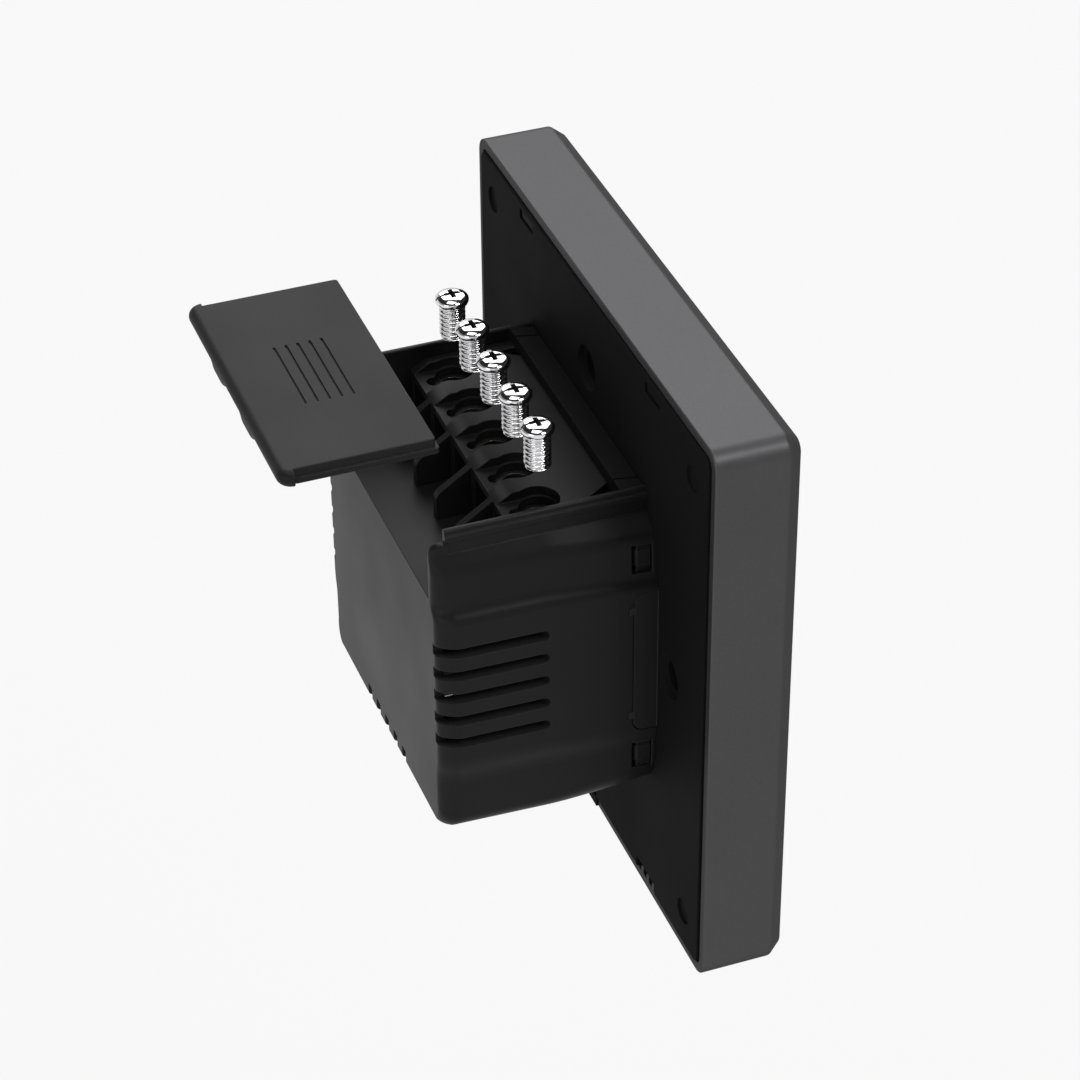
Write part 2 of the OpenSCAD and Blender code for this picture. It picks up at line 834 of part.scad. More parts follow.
// Channel with a round front end, key-shaped screw hole, clamp pocket and wire window
module terminal_recess() {
    half = (terminal_pitch - bar_w) / 2;
    key_half = 1;
    block([-half, screw_y, channel_z], [half, block_back_y + cut, bar_top_z + cut]);
    translate([0, screw_y, channel_z])
        cylinder(r = half + 0.4, h = channel_depth + cut);
    translate([0, screw_y, clamp_top_z - cut])
        cylinder(r = screw_hole_r, h = channel_z - clamp_top_z + 2 * cut);
    block([-key_half, screw_y, clamp_top_z - cut], [key_half, block_back_y - 2, channel_z + cut]);
    translate([0, block_back_y - 2, clamp_top_z - cut])
        cylinder(r = key_half, h = channel_z - clamp_top_z + 2 * cut);
    block(
        [-clamp_half - seat, clamp_front_y - seat, block_floor_z - cut],
        [clamp_half + seat, clamp_back_y + seat, clamp_top_z + seat]
    );
    block(
        [-clamp_half - seat, clamp_back_y, clamp_bottom_z + seat],
        [clamp_half + seat, block_back_y + cut, clamp_top_z + seat]
    );
    tail_slot_half = 0.7;
    block(
        [-tail_slot_half, power_back_y - cut, block_floor_z - cut],
        [tail_slot_half, clamp_front_y, wire_z + tail_slot_half]
    );
}

// Cut that slopes the back ends of the bars down to the channels' floor
module bar_slope() {
    slope = 2.3;
    translate([-block_half - cut, 0, 0])
        rotate([90, 0, 90])
            linear_extrude(2 * (block_half + cut))
                polygon([
                    [block_back_y - slope, bar_top_z],
                    [block_back_y, channel_z],
                    [block_back_y + cut, channel_z],
                    [block_back_y + cut, bar_top_z + cut],
                    [block_back_y - slope, bar_top_z + cut]
                ]);
}

// Wall between two wires, with a rounded upper back corner
module terminal_fin(x) {
    round_r = 1.6;
    tip_y = block_back_y + fin_reach;
    tip_z = channel_z - 3.5;
    base_z = bay_floor_z + seat;
    arc = [
        for (turn = [0 : 10 : 50])
            [tip_y - round_r + round_r * cos(turn), tip_z - round_r / 2 + round_r * sin(turn)]
    ];
    translate([x - fin_t / 2, 0, 0])
        rotate([90, 0, 90])
            linear_extrude(fin_t)
                polygon(concat(
                    [[block_back_y - cut, base_z], [tip_y, base_z]],
                    arc,
                    [[block_back_y, channel_z], [block_back_y - cut, channel_z]]
                ));
}

module terminal_clamps() {
    color([0.78, 0.62, 0.32])
    for (number = terminal_numbers)
        translate([terminal_x(number), 0, 0])
            terminal_clamp();
}

// Brass block with a threaded hole for the screw, a hole for the wire and a solder tail
module terminal_clamp() {
    tail_half = 0.6;
    difference() {
        union() {
            block(
                [-clamp_half, clamp_front_y, clamp_bottom_z],
                [clamp_half, clamp_back_y, clamp_top_z]
            );
            block(
                [-tail_half, power_back_y, wire_z - tail_half],
                [tail_half, clamp_front_y + cut, wire_z + tail_half]
            );
        }
        translate([0, screw_y, wire_z])
            cylinder(r = thread_r + seat / 2, h = clamp_top_z - wire_z + cut);
        rod_y(0, wire_z, wire_r, clamp_front_y + 0.8, clamp_back_y + cut);
        translate([0, screw_y, wire_z - wire_r])
            cylinder(r = thread_r + seat / 2, h = wire_r + cut);
    }
}

module power_board() {
    color([0.1, 0.25, 0.1])
    difference() {
        block([-power_half, bay_front_y, power_bottom_z], [power_half, power_back_y, power_top_z]);
        for (side = [-1, 1], z = power_post_z)
            rod_y(
                side * power_post_x, z, small_screw_r + fit, bay_front_y - cut, power_back_y + cut
            );
    }
}

module power_board_screws() {
    color("silver")
    for (side = [-1, 1], z = power_post_z)
        small_screw(side * power_post_x, power_back_y, z, power_t + power_screw_grip);
}

module relays() {
    color([0.12, 0.12, 0.12])
    for (number = [0 : relay_count - 1]) {
        x = (number - (relay_count - 1) / 2) * (relay_w + 2 * seat);
        block(
            [x - relay_w / 2, power_back_y, relay_bottom_z],
            [x + relay_w / 2, power_back_y + relay_d, relay_bottom_z + relay_h]
        );
    }
}

module transformer() {
    size = transformer_size;
    foot_t = 3;
    cheek_t = 2;
    color([0.2, 0.17, 0.12])
    translate([transformer_x - size[0] / 2, power_back_y, upper_row_z]) {
        block([0, 0, 0], [size[0], foot_t, size[2]]);
        block([cheek_t, 0, cheek_t], [size[0] - cheek_t, size[1], size[2] - cheek_t]);
        block([0, size[1] - cheek_t, 0], size);
    }
}

module bulk_capacitors() {
    color([0.15, 0.15, 0.2])
    for (x = capacitor_x)
        rod_y(x, capacitor_z, capacitor_r, power_back_y, power_back_y + capacitor_h);
}

module input_fuse() {
    color("silver")
    translate([power_half - 1 - fuse_length, power_back_y + fuse_r, upper_row_z + fuse_r - 0.6])
        rotate([0, 90, 0])
            cylinder(r = fuse_r, h = fuse_length);
}

module board_socket() {
    color([0.08, 0.08, 0.08])
    difference() {
        block(
            [-connector_w / 2, board_back_y + 1 + 2 * seat, -connector_h / 2],
            [connector_w / 2, bay_front_y, connector_h / 2]
        );
        at_pins()
            block(
                [-pin_w / 2 - fit, board_back_y, -pin_w / 2 - fit],
                [pin_w / 2 + fit, 2 + 3 * seat, pin_w / 2 + fit]
            );
    }
}

// Pieces that are lifted off for wiring
module terminal_cover() {
    color([0.1, 0.1, 0.105])
    translate([0, cover_back, cover_lift])
        difference() {
            union() {
                block(
                    [-lid_half, cover_front_y + 0.4, cover_bottom_z + rail_t],
                    [lid_half, cover_back_y - lip_t / 2, cover_top_z]
                );
                block(
                    [-rail_half, cover_front_y, cover_bottom_z],
                    [rail_half, bay_back_y, cover_bottom_z + rail_t]
                );
                cover_lip();
                for (side = [-1, 1])
                    finger_tab(side * tab_x);
            }
            grip_grooves();
        }
}

// Lip with a rounded back edge and rounded ends
module cover_lip() {
    end_x = bay_outer - lip_t;
    intersection() {
        hull()
            for (side = [-1, 1])
                translate([side * end_x, cover_back_y - lip_t, cover_top_z - lip_h])
                    rotate_extrude($fn = 32)
                        lip_profile();
        block(
            [-bay_outer, cover_back_y - lip_t, cover_top_z - lip_h - cut],
            [bay_outer, cover_back_y + cut, cover_top_z + cut]
        );
    }
}

module lip_profile() {
    edge_r = 1.1;
    polygon(concat(
        [[0, 0]],
        [
            for (turn = [-90 : 15 : 0])
                [lip_t - edge_r + edge_r * cos(turn), edge_r + edge_r * sin(turn)]
        ],
        [
            for (turn = [0 : 15 : 90])
                [lip_t - edge_r + edge_r * cos(turn), lip_h - edge_r + edge_r * sin(turn)]
        ],
        [[0, lip_h]]
    ));
}

module finger_tab(x) {
    round_r = 1.4;
    tab_t = 1.2;
    top_z = cover_top_z - lip_h / 2;
    bottom_z = cover_top_z - lip_h - tab_h;
    from_y = cover_back_y - tab_t;
    half = tab_w / 2;
    block([x - half, from_y, bottom_z + round_r], [x + half, from_y + tab_t, top_z]);
    block([x - half + round_r, from_y, bottom_z], [x + half - round_r, from_y + tab_t, top_z]);
    for (side = [-1, 1])
        rod_y(x + side * (half - round_r), bottom_z + round_r, round_r, from_y, from_y + tab_t);
}

// Plain grooves for grip, cut in the cover's top
module grip_grooves() {
    groove_w = 0.3;
    groove_depth = 0.25;
    groove_pitch = 1.6;
    groove_half = 7;
    middle_y = (cover_front_y + cover_back_y) / 2;
    for (number = [-2 : 2]) {
        y = middle_y + number * groove_pitch;
        block(
            [-groove_half, y - groove_w / 2, cover_top_z - groove_depth],
            [groove_half, y + groove_w / 2, cover_top_z + cut]
        );
    }
}

// Pan-head screw with a slot and a cross, drawn where it is driven home and then lifted
module terminal_screw(number) {
    color([0.85, 0.85, 0.86])
    translate([terminal_x(number - 1), screw_y, head_home_z + screw_lift])
        difference() {
            rotate_extrude()
                screw_profile();
            screw_recess();
        }
}

module screw_profile() {
    edge_r = 0.6;
    root_r = thread_r - 0.3;
    turns = floor((shank_h - 1) / thread_pitch);
    polygon(concat(
        [[0, -shank_h], [root_r - 0.3, -shank_h], [root_r, -shank_h + 0.4]],
        [
            for (turn = [0 : turns - 1])
                let (z = -shank_h + 0.4 + turn * thread_pitch)
                each [[thread_r, z + thread_pitch / 2], [root_r, z + thread_pitch]]
        ],
        [[root_r, 0], [head_r, 0]],
        [
            for (angle = [0 : 30 : 90])
                [head_r - edge_r + edge_r * cos(angle), head_h - edge_r + edge_r * sin(angle)]
        ],
        [[0, head_h]]
    ));
}

module screw_recess() {
    slot_w = 0.7;
    slot_depth = 0.8;
    cross_reach = 1.3;
    block([-slot_w / 2, -head_r - cut, head_h - slot_depth], [slot_w / 2, head_r + cut, head_h + cut]);
    block(
        [-cross_reach, -slot_w / 2, head_h - slot_depth - 0.2],
        [cross_reach, slot_w / 2, head_h + cut]
    );
}

mounting_plate();
rear_box();
terminal_block();
terminal_clamps();
power_board();
power_board_screws();
relays();
transformer();
bulk_capacitors();
input_fuse();
board_socket();
metal_frame();
front_glass();
glass_gasket();
display_module();
inner_carrier();
main_board();
main_board_screws();
shield_can();
speaker();
microphones();
pin_header();
terminal_cover();
terminal_screw(1);  // terminal_screw_1
terminal_screw(2);  // terminal_screw_2
terminal_screw(3);  // terminal_screw_3
terminal_screw(4);  // terminal_screw_4
terminal_screw(5);  // terminal_screw_5
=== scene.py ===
# %% [markdown]
# # A wall touch panel, seen from the wall side
#
# The real object is a square control panel that hangs in front of a flush wall box. A metal frame holds the glass,
# a black plate closes the back, and a black box with five screw terminals reaches into the wall. For wiring, the
# small cover over the terminals and the five screws have been taken off, and they hang above their places.
#
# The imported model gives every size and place. This script only dresses it: it rounds edges, cuts threads and adds
# finishes, so nothing here may be larger than the model itself.

import json
from functools import partial
from math import cos, pi, radians, sin

import bmesh
import bpy
from mathutils import Matrix, Vector


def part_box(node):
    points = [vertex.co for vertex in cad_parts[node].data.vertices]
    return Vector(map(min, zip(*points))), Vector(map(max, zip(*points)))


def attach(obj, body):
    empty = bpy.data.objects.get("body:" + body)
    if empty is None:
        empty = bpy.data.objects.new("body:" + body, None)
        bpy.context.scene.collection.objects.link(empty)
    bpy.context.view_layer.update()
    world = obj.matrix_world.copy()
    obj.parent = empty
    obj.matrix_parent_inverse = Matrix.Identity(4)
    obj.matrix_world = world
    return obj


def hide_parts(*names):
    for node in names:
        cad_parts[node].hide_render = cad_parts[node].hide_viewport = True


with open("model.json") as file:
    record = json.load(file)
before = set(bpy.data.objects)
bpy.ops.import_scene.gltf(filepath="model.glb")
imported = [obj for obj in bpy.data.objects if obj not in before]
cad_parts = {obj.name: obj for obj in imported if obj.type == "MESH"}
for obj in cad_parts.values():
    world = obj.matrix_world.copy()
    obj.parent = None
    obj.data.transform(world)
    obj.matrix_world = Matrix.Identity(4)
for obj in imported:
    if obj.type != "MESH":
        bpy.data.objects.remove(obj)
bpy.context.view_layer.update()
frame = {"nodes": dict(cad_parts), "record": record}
mm = 0.001


def new_object(name, data):
    """An object with this data, linked to the scene."""
    made = bpy.data.objects.new(name, data)
    bpy.context.collection.objects.link(made)
    return made


# %% [markdown]
# ## Camera
#
# The photograph looks down on the panel from behind, with a long lens from about half a metre. Where the frame's four
# corners fall in the picture fixes the camera's place, direction and small roll. The lens is a hundredth longer than
# in that fit, because the frame comes out a little small against the box.

# %% Camera at the photograph's view
azimuth, elevation, roll = radians(-110.08), radians(35.96), radians(-0.533)
level_share = cos(elevation)
backwards = Vector((sin(azimuth) * level_share, -cos(azimuth) * level_share, sin(elevation)))
level_right = (-backwards).cross(Vector((0, 0, 1))).normalized()
level_up = level_right.cross(-backwards)
right = cos(roll) * level_right + sin(roll) * level_up
up = -sin(roll) * level_right + cos(roll) * level_up
camera = new_object("camera", bpy.data.cameras.new("camera"))
camera.data.lens = 116
camera.data.sensor_width = 36
camera.data.clip_start = 0.01
turned = Matrix((right, up, backwards)).transposed().to_4x4()
camera.matrix_world = Matrix.Translation((-0.36119, 0.13886, 0.28255)) @ turned
bpy.context.scene.camera = camera
bpy.context.scene.view_settings.view_transform = "Standard"
print("camera distance", round(camera.location.length, 4))

# %% [markdown]
# ## Nodes in few words
#
# Materials, the sky and the Geometry Nodes trees are made of nodes, and a node has a kind, settings, and for each
# input a link or a plain value. One function does all that, so the cells below read as lists of what goes where.

# %% Functions that add nodes
def fill(node, inputs):
    """Inputs of a node, by name or number, linked to sockets or set to plain values."""
    for label, value in inputs.items():
        if isinstance(value, bpy.types.NodeSocket):
            node.id_data.links.new(value, node.inputs[label])
        else:
            node.inputs[label].default_value = value


def add(tree, kind, inputs=None, **settings):
    """The outputs of a new node with these settings and inputs."""
    node = tree.nodes.new(kind)
    for label, value in settings.items():
        setattr(node, label, value)
    fill(node, inputs or {})
    return node.outputs


def calculate(tree, operation, *values, clamp=False):
    """The result of a math node for sockets and plain numbers."""
    return add(tree, "ShaderNodeMath", dict(enumerate(values)), operation=operation, use_clamp=clamp)[0]


def ranged(tree, value, to_min=0, to_max=1, from_min=0, from_max=1):
    """A value brought from one range to another and held inside it."""
    inputs = {"Value": value, "From Min": from_min, "From Max": from_max, "To Min": to_min, "To Max": to_max}
    return add(tree, "ShaderNodeMapRange", inputs)["Result"]


def split(tree, vector):
    """The X, Y and Z of a vector."""
    return add(tree, "ShaderNodeSeparateXYZ", {"Vector": vector})


def chosen(tree, factor, first, second):
    """The second shader where the factor is 1, and else the first."""
    return add(tree, "ShaderNodeMixShader", {"Fac": factor, 1: first, 2: second})["Shader"]


def new_material(name):
    """An empty node material with its node tree, a Principled BSDF and the output."""
    material = bpy.data.materials.new(name)
    material.use_nodes = True
    tree = material.node_tree
    tree.nodes.clear()
    shader, output = tree.nodes.new("ShaderNodeBsdfPrincipled"), tree.nodes.new("ShaderNodeOutputMaterial")
    fill(output, {"Surface": shader.outputs["BSDF"]})
    return material, tree, shader, output


def new_group(name, kind, inputs, outputs):
    """An empty node group, the outputs of its input node and its output node."""
    group = bpy.data.node_groups.new(name, kind)
    for side, sockets in (("INPUT", inputs), ("OUTPUT", outputs)):
        for label, value_kind in sockets.items():
            group.interface.new_socket(label, in_out=side, socket_type="NodeSocket" + value_kind)
    return group, group.nodes.new("NodeGroupInput").outputs, group.nodes.new("NodeGroupOutput")


# %% [markdown]
# ## Studio
#
# The photograph has a plain, almost white background and no shadow near the object, because the object floats.
# A pale floor well below it gives the same picture. One large soft lamp stands where the top faces mirror it to
# the camera, so the metal's top is its lightest side, and three weaker ones keep the black plastic readable. Mirror
# rays see the plain background too, up to the dark ceiling of the studio, and so the bright screws get both white
# and black. Towards the room the floor grows darker for them, which gives the glass a soft gradient.

# %% Floor, lamps and sky
background = 0.955
background_colour = (background, background, background, 1)
floor_half, floor_z = 6, -0.17

floor_material, tree, shader, output = new_material("pale floor")
fill(shader, {"Base Color": (0.55, 0.55, 0.55, 1), "Roughness": 0.9})
rays = add(tree, "ShaderNodeLightPath")
position = split(tree, add(tree, "ShaderNodeNewGeometry")["Position"])
mirrored = calculate(tree, "MULTIPLY", rays["Is Glossy Ray"], ranged(tree, position["Y"], 0.25, 1, -0.55, -0.18))
directly = calculate(tree, "MAXIMUM", rays["Is Camera Ray"], rays["Is Transmission Ray"])
plain_share = calculate(tree, "MULTIPLY", calculate(tree, "MAXIMUM", directly, mirrored), 0.96)
glow = add(tree, "ShaderNodeEmission", {"Color": background_colour})["Emission"]
fill(output, {"Surface": chosen(tree, plain_share, shader.outputs["BSDF"], glow)})

floor_mesh = bpy.data.meshes.new("floor")
floor_corners = [(x * floor_half, y * floor_half, floor_z) for x, y in ((-1, -1), (1, -1), (1, 1), (-1, 1))]
floor_mesh.from_pydata(floor_corners, [], [(0, 1, 2, 3)])
floor_mesh.materials.append(floor_material)
new_object("floor", floor_mesh)

for name, place, size, power in (
    ("lamp mirrored by the top faces", (0.62, -0.24, 0.62), 0.8, 6.2),
    ("lamp above", (-0.1, 0.1, 0.9), 0.5, 2.5),
    ("lamp beside the camera", (-0.55, 0.85, 0.2), 0.5, 1.6),
    ("lamp over the near side", (-0.5, -0.26, 0.65), 0.3, 2.6),
):
    lamp = new_object(name, bpy.data.lights.new(name, "AREA"))
    lamp.data.shape = "SQUARE"
    lamp.data.size = size
    lamp.data.energy = power
    lamp.location = place
    lamp.rotation_euler = Vector(place).to_track_quat("Z", "Y").to_euler()

world = bpy.data.worlds.new("sky")
world.use_nodes = True
bpy.context.scene.world, tree = world, world.node_tree
tree.nodes.clear()
height = split(tree, add(tree, "ShaderNodeTexCoord")["Generated"])["Z"]


def sky_by_height(low, high, low_strength, high_strength):
    """A plain sky whose strength changes between two heights of the view direction."""
    strength = ranged(tree, height, low_strength, high_strength, low, high)
    return add(tree, "ShaderNodeBackground", {"Strength": strength})["Background"]


rays = add(tree, "ShaderNodeLightPath")
lighting, mirrored_sky = sky_by_height(0.0, 0.9, 0.12, 0.5), sky_by_height(0.3, 0.52, background, 0.03)
plain_sky = add(tree, "ShaderNodeBackground", {"Color": background_colour})["Background"]
directly = calculate(tree, "MAXIMUM", rays["Is Camera Ray"], rays["Is Transmission Ray"])
for_objects = chosen(tree, rays["Is Glossy Ray"], lighting, mirrored_sky)
add(tree, "ShaderNodeOutputWorld", {"Surface": chosen(tree, directly, for_objects, plain_sky)})

# %% [markdown]
# ## Shared surface effects
#
# Moulded plastic, painted metal and anodised metal all show a fine grain and a faint unevenness over a few
# centimetres. Both are built once, as one node group with named inputs, and every finish places it with its own
# values. A second group finds edges by comparing the surface normal with a rounded one, for a painted highlight.

# %% Node groups for grain and edges
grain, given, result = new_group(
    "surface grain", "ShaderNodeTree", {"Scale": "Float", "Cloud Scale": "Float"},
    {"Height": "Float", "Speck": "Float", "Cloud": "Float"},
)
place = add(grain, "ShaderNodeTexCoord")["Object"]
fine = add(grain, "ShaderNodeTexNoise", {"Vector": place, "Scale": given["Scale"], "Detail": 2})["Fac"]
broad = add(grain, "ShaderNodeTexNoise", {"Vector": place, "Scale": given["Cloud Scale"], "Detail": 3})["Fac"]
speck, cloud = (ranged(grain, noise, from_min=0.3, from_max=0.7) for noise in (fine, broad))
fill(result, {"Height": fine, "Speck": speck, "Cloud": cloud})

# The mask marks convex and hollow edges alike, where the finishes paint a highlight
edges, given, result = new_group("edge mask", "ShaderNodeTree", {"Sharpness": "Float"}, {"Mask": "Float"})
rounded = add(edges, "ShaderNodeBevel", {"Radius": 0.25 * mm}, samples=4)["Normal"]
surface = add(edges, "ShaderNodeNewGeometry")["Normal"]
alike = add(edges, "ShaderNodeVectorMath", {0: rounded, 1: surface}, operation="DOT_PRODUCT")["Value"]
apart = calculate(edges, "SUBTRACT", 1, alike)
fill(result, {"Mask": calculate(edges, "MULTIPLY", apart, given["Sharpness"], clamp=True)})

# %% [markdown]
# ## Finishes
#
# One function lays a finish on the Principled shader: two close tones mixed by the grain and the clouds, a lighter
# tone on edges as a painted highlight, a roughness that follows the clouds, a bump from the grain, and normals that
# round the last tenth of a millimetre of every edge. The numbers then tell the plastics and metals apart.

# %% Finish function
def blend_colours(tree, factor, first, second):
    """A colour mix by a factor socket of two sockets or plain colours, where a grey leaves out its green."""
    inputs = {"Factor": factor}
    for index, colour in ((6, first), (7, second)):
        inputs[index] = (colour[0], *colour[-2:], 1) if isinstance(colour, tuple) else colour
    return add(tree, "ShaderNodeMix", inputs, data_type="RGBA")[2]


def finish(name, dark, light, rough, grain_scale, bump, bump_mm, edge, metallic, specular, round_mm=0.12, grazing=1):
    """A material of two tones with grain, clouds, bump, rounded edges and, where edge is a colour, a painted highlight
    on them.
    """
    material, tree, shader, output = new_material(name)
    texture = add(tree, "ShaderNodeGroup", {"Scale": grain_scale, "Cloud Scale": 45}, node_tree=grain)
    tone = add(tree, "ShaderNodeMix", {"Factor": 0.45, "A": texture["Speck"], "B": texture["Cloud"]})["Result"]
    colour = blend_colours(tree, tone, dark, light)
    # Edges take a lighter tone: a painted highlight
    if edge is not None:
        painted_edge_highlight = add(tree, "ShaderNodeGroup", {"Sharpness": 4}, node_tree=edges)["Mask"]
        colour = blend_colours(tree, painted_edge_highlight, colour, edge)
    soft = add(tree, "ShaderNodeBevel", {"Radius": round_mm * mm}, samples=6)["Normal"]
    relief = {"Strength": bump, "Distance": bump_mm * mm, "Height": texture["Height"], "Normal": soft}
    fill(shader, {
        "Base Color": colour, "Roughness": ranged(tree, texture["Cloud"], *rough), "Metallic": metallic,
        "Specular IOR Level": specular, "Specular Tint": (grazing, grazing, grazing, 1),
        "Normal": add(tree, "ShaderNodeBump", relief)["Normal"],
    })
    return material


# %% The object's finishes
# Each has a name, two tones, a range of roughness, the scale of its grain, the strength and height of its bump, the
# tone of the painted edge highlight, metallic and specular, and where they differ from the rest, edge radius and
# grazing tint. Greys leave out their green, which equals their red
finishes = {
    "dark_anodised": (
        "dark anodised metal", (0.07, 0.072), (0.092, 0.095), (0.42, 0.5), 6500, 0.25, 0.02, (0.12, 0.123), 0.8, 0.3,
        0.1, 0.35,
    ),
    "plate_plastic": (
        "matt black plate", (0.0085, 0.009), (0.0115, 0.012), (0.7, 0.8), 5200, 0.3, 0.02, (0.0115, 0.012), 0, 0.03,
    ),
    "catches": (
        "satin black catches", (0.008, 0.0083), (0.011, 0.0113), (0.42, 0.5), 5200, 0.2, 0.02, (0.03, 0.031), 0, 0.17,
        0.15,
    ),
    "box_plastic": (
        "satin black box", (0.0062, 0.0065), (0.0088, 0.0092), (0.4, 0.48), 5200, 0.2, 0.02, (0.022, 0.0225), 0, 0.15,
        0.2,
    ),
    "terminal_block": (
        "satin black block", (0.0055, 0.0058), (0.0075, 0.0078), (0.42, 0.5), 5200, 0.2, 0.02, (0.02, 0.0205), 0, 0.12,
        0.15,
    ),
    # Lighter than the box's plastic: painted light on the faces inside the vent slots
    "slot_faces_painted_light": (
        "plastic inside the vent slots", (0.017, 0.0173), (0.023, 0.0233), (0.55, 0.65), 4000, 0.2, 0.02, None, 0, 0.15,
    ),
    "cover_plastic": (
        "matt black cover", (0.0095, 0.01), (0.0135, 0.014), (0.48, 0.56), 5200, 0.25, 0.02, (0.035, 0.036), 0, 0.14,
        0.15,
    ),
    "inner_plastic": (
        "dark inner plastic", (0.015, 0.016), (0.022, 0.023), (0.45, 0.6), 4000, 0.2, 0.02, (0.04, 0.041), 0, 0.25,
    ),
    "inner_carrier": (
        "black inner plastic", (0.006, 0.0062), (0.009, 0.0093), (0.55, 0.7), 4000, 0.2, 0.02, (0.015, 0.0153), 0, 0.05,
    ),
    "screw_metal": ("bright nickel", (0.74, 0.75), (0.82, 0.83), (0.06, 0.12), 9000, 0.05, 0.003, None, 1, 0.5, 0.06),
    # Dark metal for the faces of the slots in the screw heads: painted shade in the recess
    "screw_recess": (
        "dull metal in the recess", (0.07, 0.071), (0.1, 0.101), (0.4, 0.55), 9000, 0.1, 0.005, None, 0.8, 0.3, 0.05,
    ),
    # Tin far darker than bright metal: painted shade in the wire wells of the terminal block
    "clamp_brass": (
        "tinned brass", (0.1, 0.098, 0.092), (0.16, 0.156, 0.145), (0.3, 0.45), 6000, 0.2, 0.01, None, 1, 0.5,
    ),
    "tin_plate": ("tin plate", (0.42, 0.43), (0.55, 0.56), (0.28, 0.42), 6000, 0.15, 0.01, None, 1, 0.5),
    "relay_case": (
        "black relay case", (0.012, 0.013), (0.018, 0.019), (0.3, 0.42), 4000, 0.2, 0.02, (0.04, 0.042), 0, 0.4,
    ),
    "winding_tape": (
        "dark winding tape", (0.03, 0.022, 0.012), (0.05, 0.036, 0.02), (0.35, 0.5), 3000, 0.3, 0.02, None, 0, 0.4,
    ),
    "capacitor_sleeve": ("capacitor sleeve", (0.008, 0.014), (0.013, 0.022), (0.3, 0.4), 4000, 0.1, 0.01, None, 0, 0.4),
    "gasket_foam": ("black foam", (0.006, 0.006), (0.014, 0.014), (0.8, 0.95), 2500, 0.8, 0.05, None, 0, 0.1),
    "contact_gold": (
        "gold contacts", (0.75, 0.52, 0.18), (0.85, 0.62, 0.25), (0.15, 0.28), 7000, 0.1, 0.005, None, 1, 0.5,
    ),
    "display_back": ("display back", (0.16, 0.17), (0.22, 0.23), (0.35, 0.5), 3500, 0.2, 0.01, None, 0.8, 0.5),
}
looks = {slot: finish(*values) for slot, values in finishes.items()}
print("finishes", len(looks))

# %% [markdown]
# ## Board and glass
#
# Two finishes need a pattern of their own. The circuit board carries copper tracks under its green lacquer, which a
# brick texture on Object coordinates imitates with straight runs of different lengths. The front glass is black to
# its edge, and only when light falls on it does the display behind it show as a slightly lighter square.

# %% Green board and black glass
def circuit_board():
    """Green lacquer with lighter tracks and small bright pads."""
    material, tree, shader, output = new_material("green board")
    place = add(tree, "ShaderNodeTexCoord")["Object"]
    upright = add(tree, "ShaderNodeMapping", {"Vector": place, "Rotation": (radians(90), 0, 0)})["Vector"]
    tracks = add(tree, "ShaderNodeTexBrick", {
        "Vector": upright, "Scale": 420, "Mortar Size": 0.035, "Color1": (0.008, 0.045, 0.018, 1),
        "Color2": (0.011, 0.062, 0.025, 1), "Mortar": (0.02, 0.1, 0.045, 1),
    })
    relief = {"Strength": 0.4, "Distance": 0.03 * mm, "Height": tracks["Fac"]}
    to_pad = add(tree, "ShaderNodeTexVoronoi", {"Vector": place, "Scale": 330})["Distance"]
    pads = calculate(tree, "LESS_THAN", to_pad, 0.16)
    fill(shader, {
        "Base Color": blend_colours(tree, pads, tracks["Color"], (0.34, 0.34, 0.33)),
        "Roughness": ranged(tree, pads, 0.32, 0.22), "Normal": add(tree, "ShaderNodeBump", relief)["Normal"],
    })
    return material


def black_glass(display_half):
    """Glossy black with the display's square a shade lighter and bluer."""
    material, tree, shader, output = new_material("black glass")
    place = split(tree, add(tree, "ShaderNodeTexCoord")["Object"])
    fade = 0.1 * mm
    inside = calculate(tree, "MULTIPLY", *(
        ranged(tree, calculate(tree, "ABSOLUTE", place[axis]), 1, 0, display_half - fade, display_half + fade)
        for axis in ("X", "Z")
    ))
    smears = add(tree, "ShaderNodeGroup", {"Scale": 300, "Cloud Scale": 28}, node_tree=grain)["Cloud"]
    fill(shader, {
        "Base Color": blend_colours(tree, inside, (0.0018, 0.0018, 0.002), (0.005, 0.0055, 0.0068)),
        "Roughness": ranged(tree, smears, 0.04, 0.075),
    })
    return material


display_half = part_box("display_module")[1][0]
looks["board_green"] = circuit_board()
looks["cover_glass"] = black_glass(display_half)
print("display half width", display_half)

# %% [markdown]
# ## Tools for the meshes
#
# Most pieces here are one outline carried along something: round the square of the frame, back into the wall for
# the box, along the lip of the cover. A few small functions do that. They take millimetres and plain points, and
# give points and faces, so several closed shells can end up in one object.

# %% Outlines, rings and skins
slot_of = {row["node"]: row["material_slot"] for row in frame["record"]["subparts"]}
body_of = {node: body for body, nodes in frame["record"]["behaviour"]["bodies"].items() for node in nodes}


def eased(points, cuts, steps=4, closed=False):
    """A 2-D outline with each corner replaced by a bend that starts that far along its two sides."""
    points = [Vector(point) for point in points]
    count = len(points)
    result = [] if closed else [points[0]]
    for index in range(count) if closed else range(1, count - 1):
        corner = points[index]
        start = corner + (points[index - 1] - corner).normalized() * cuts[index]
        end = corner + (points[(index + 1) % count] - corner).normalized() * cuts[index]
        for step in range(steps + 1):
            share = step / steps
            result.append((1 - share) ** 2 * start + 2 * share * (1 - share) * corner + share ** 2 * end)
    if not closed:
        result.append(points[-1])
    return [tuple(point) for point in result]


def arc(centre, radius, first, last, steps):
    """Points of an arc round a centre, between two angles in degrees."""
    turns = [radians(first + (last - first) * step / steps) for step in range(steps + 1)]
    return [(centre[0] + radius * cos(turn), centre[1] + radius * sin(turn)) for turn in turns]


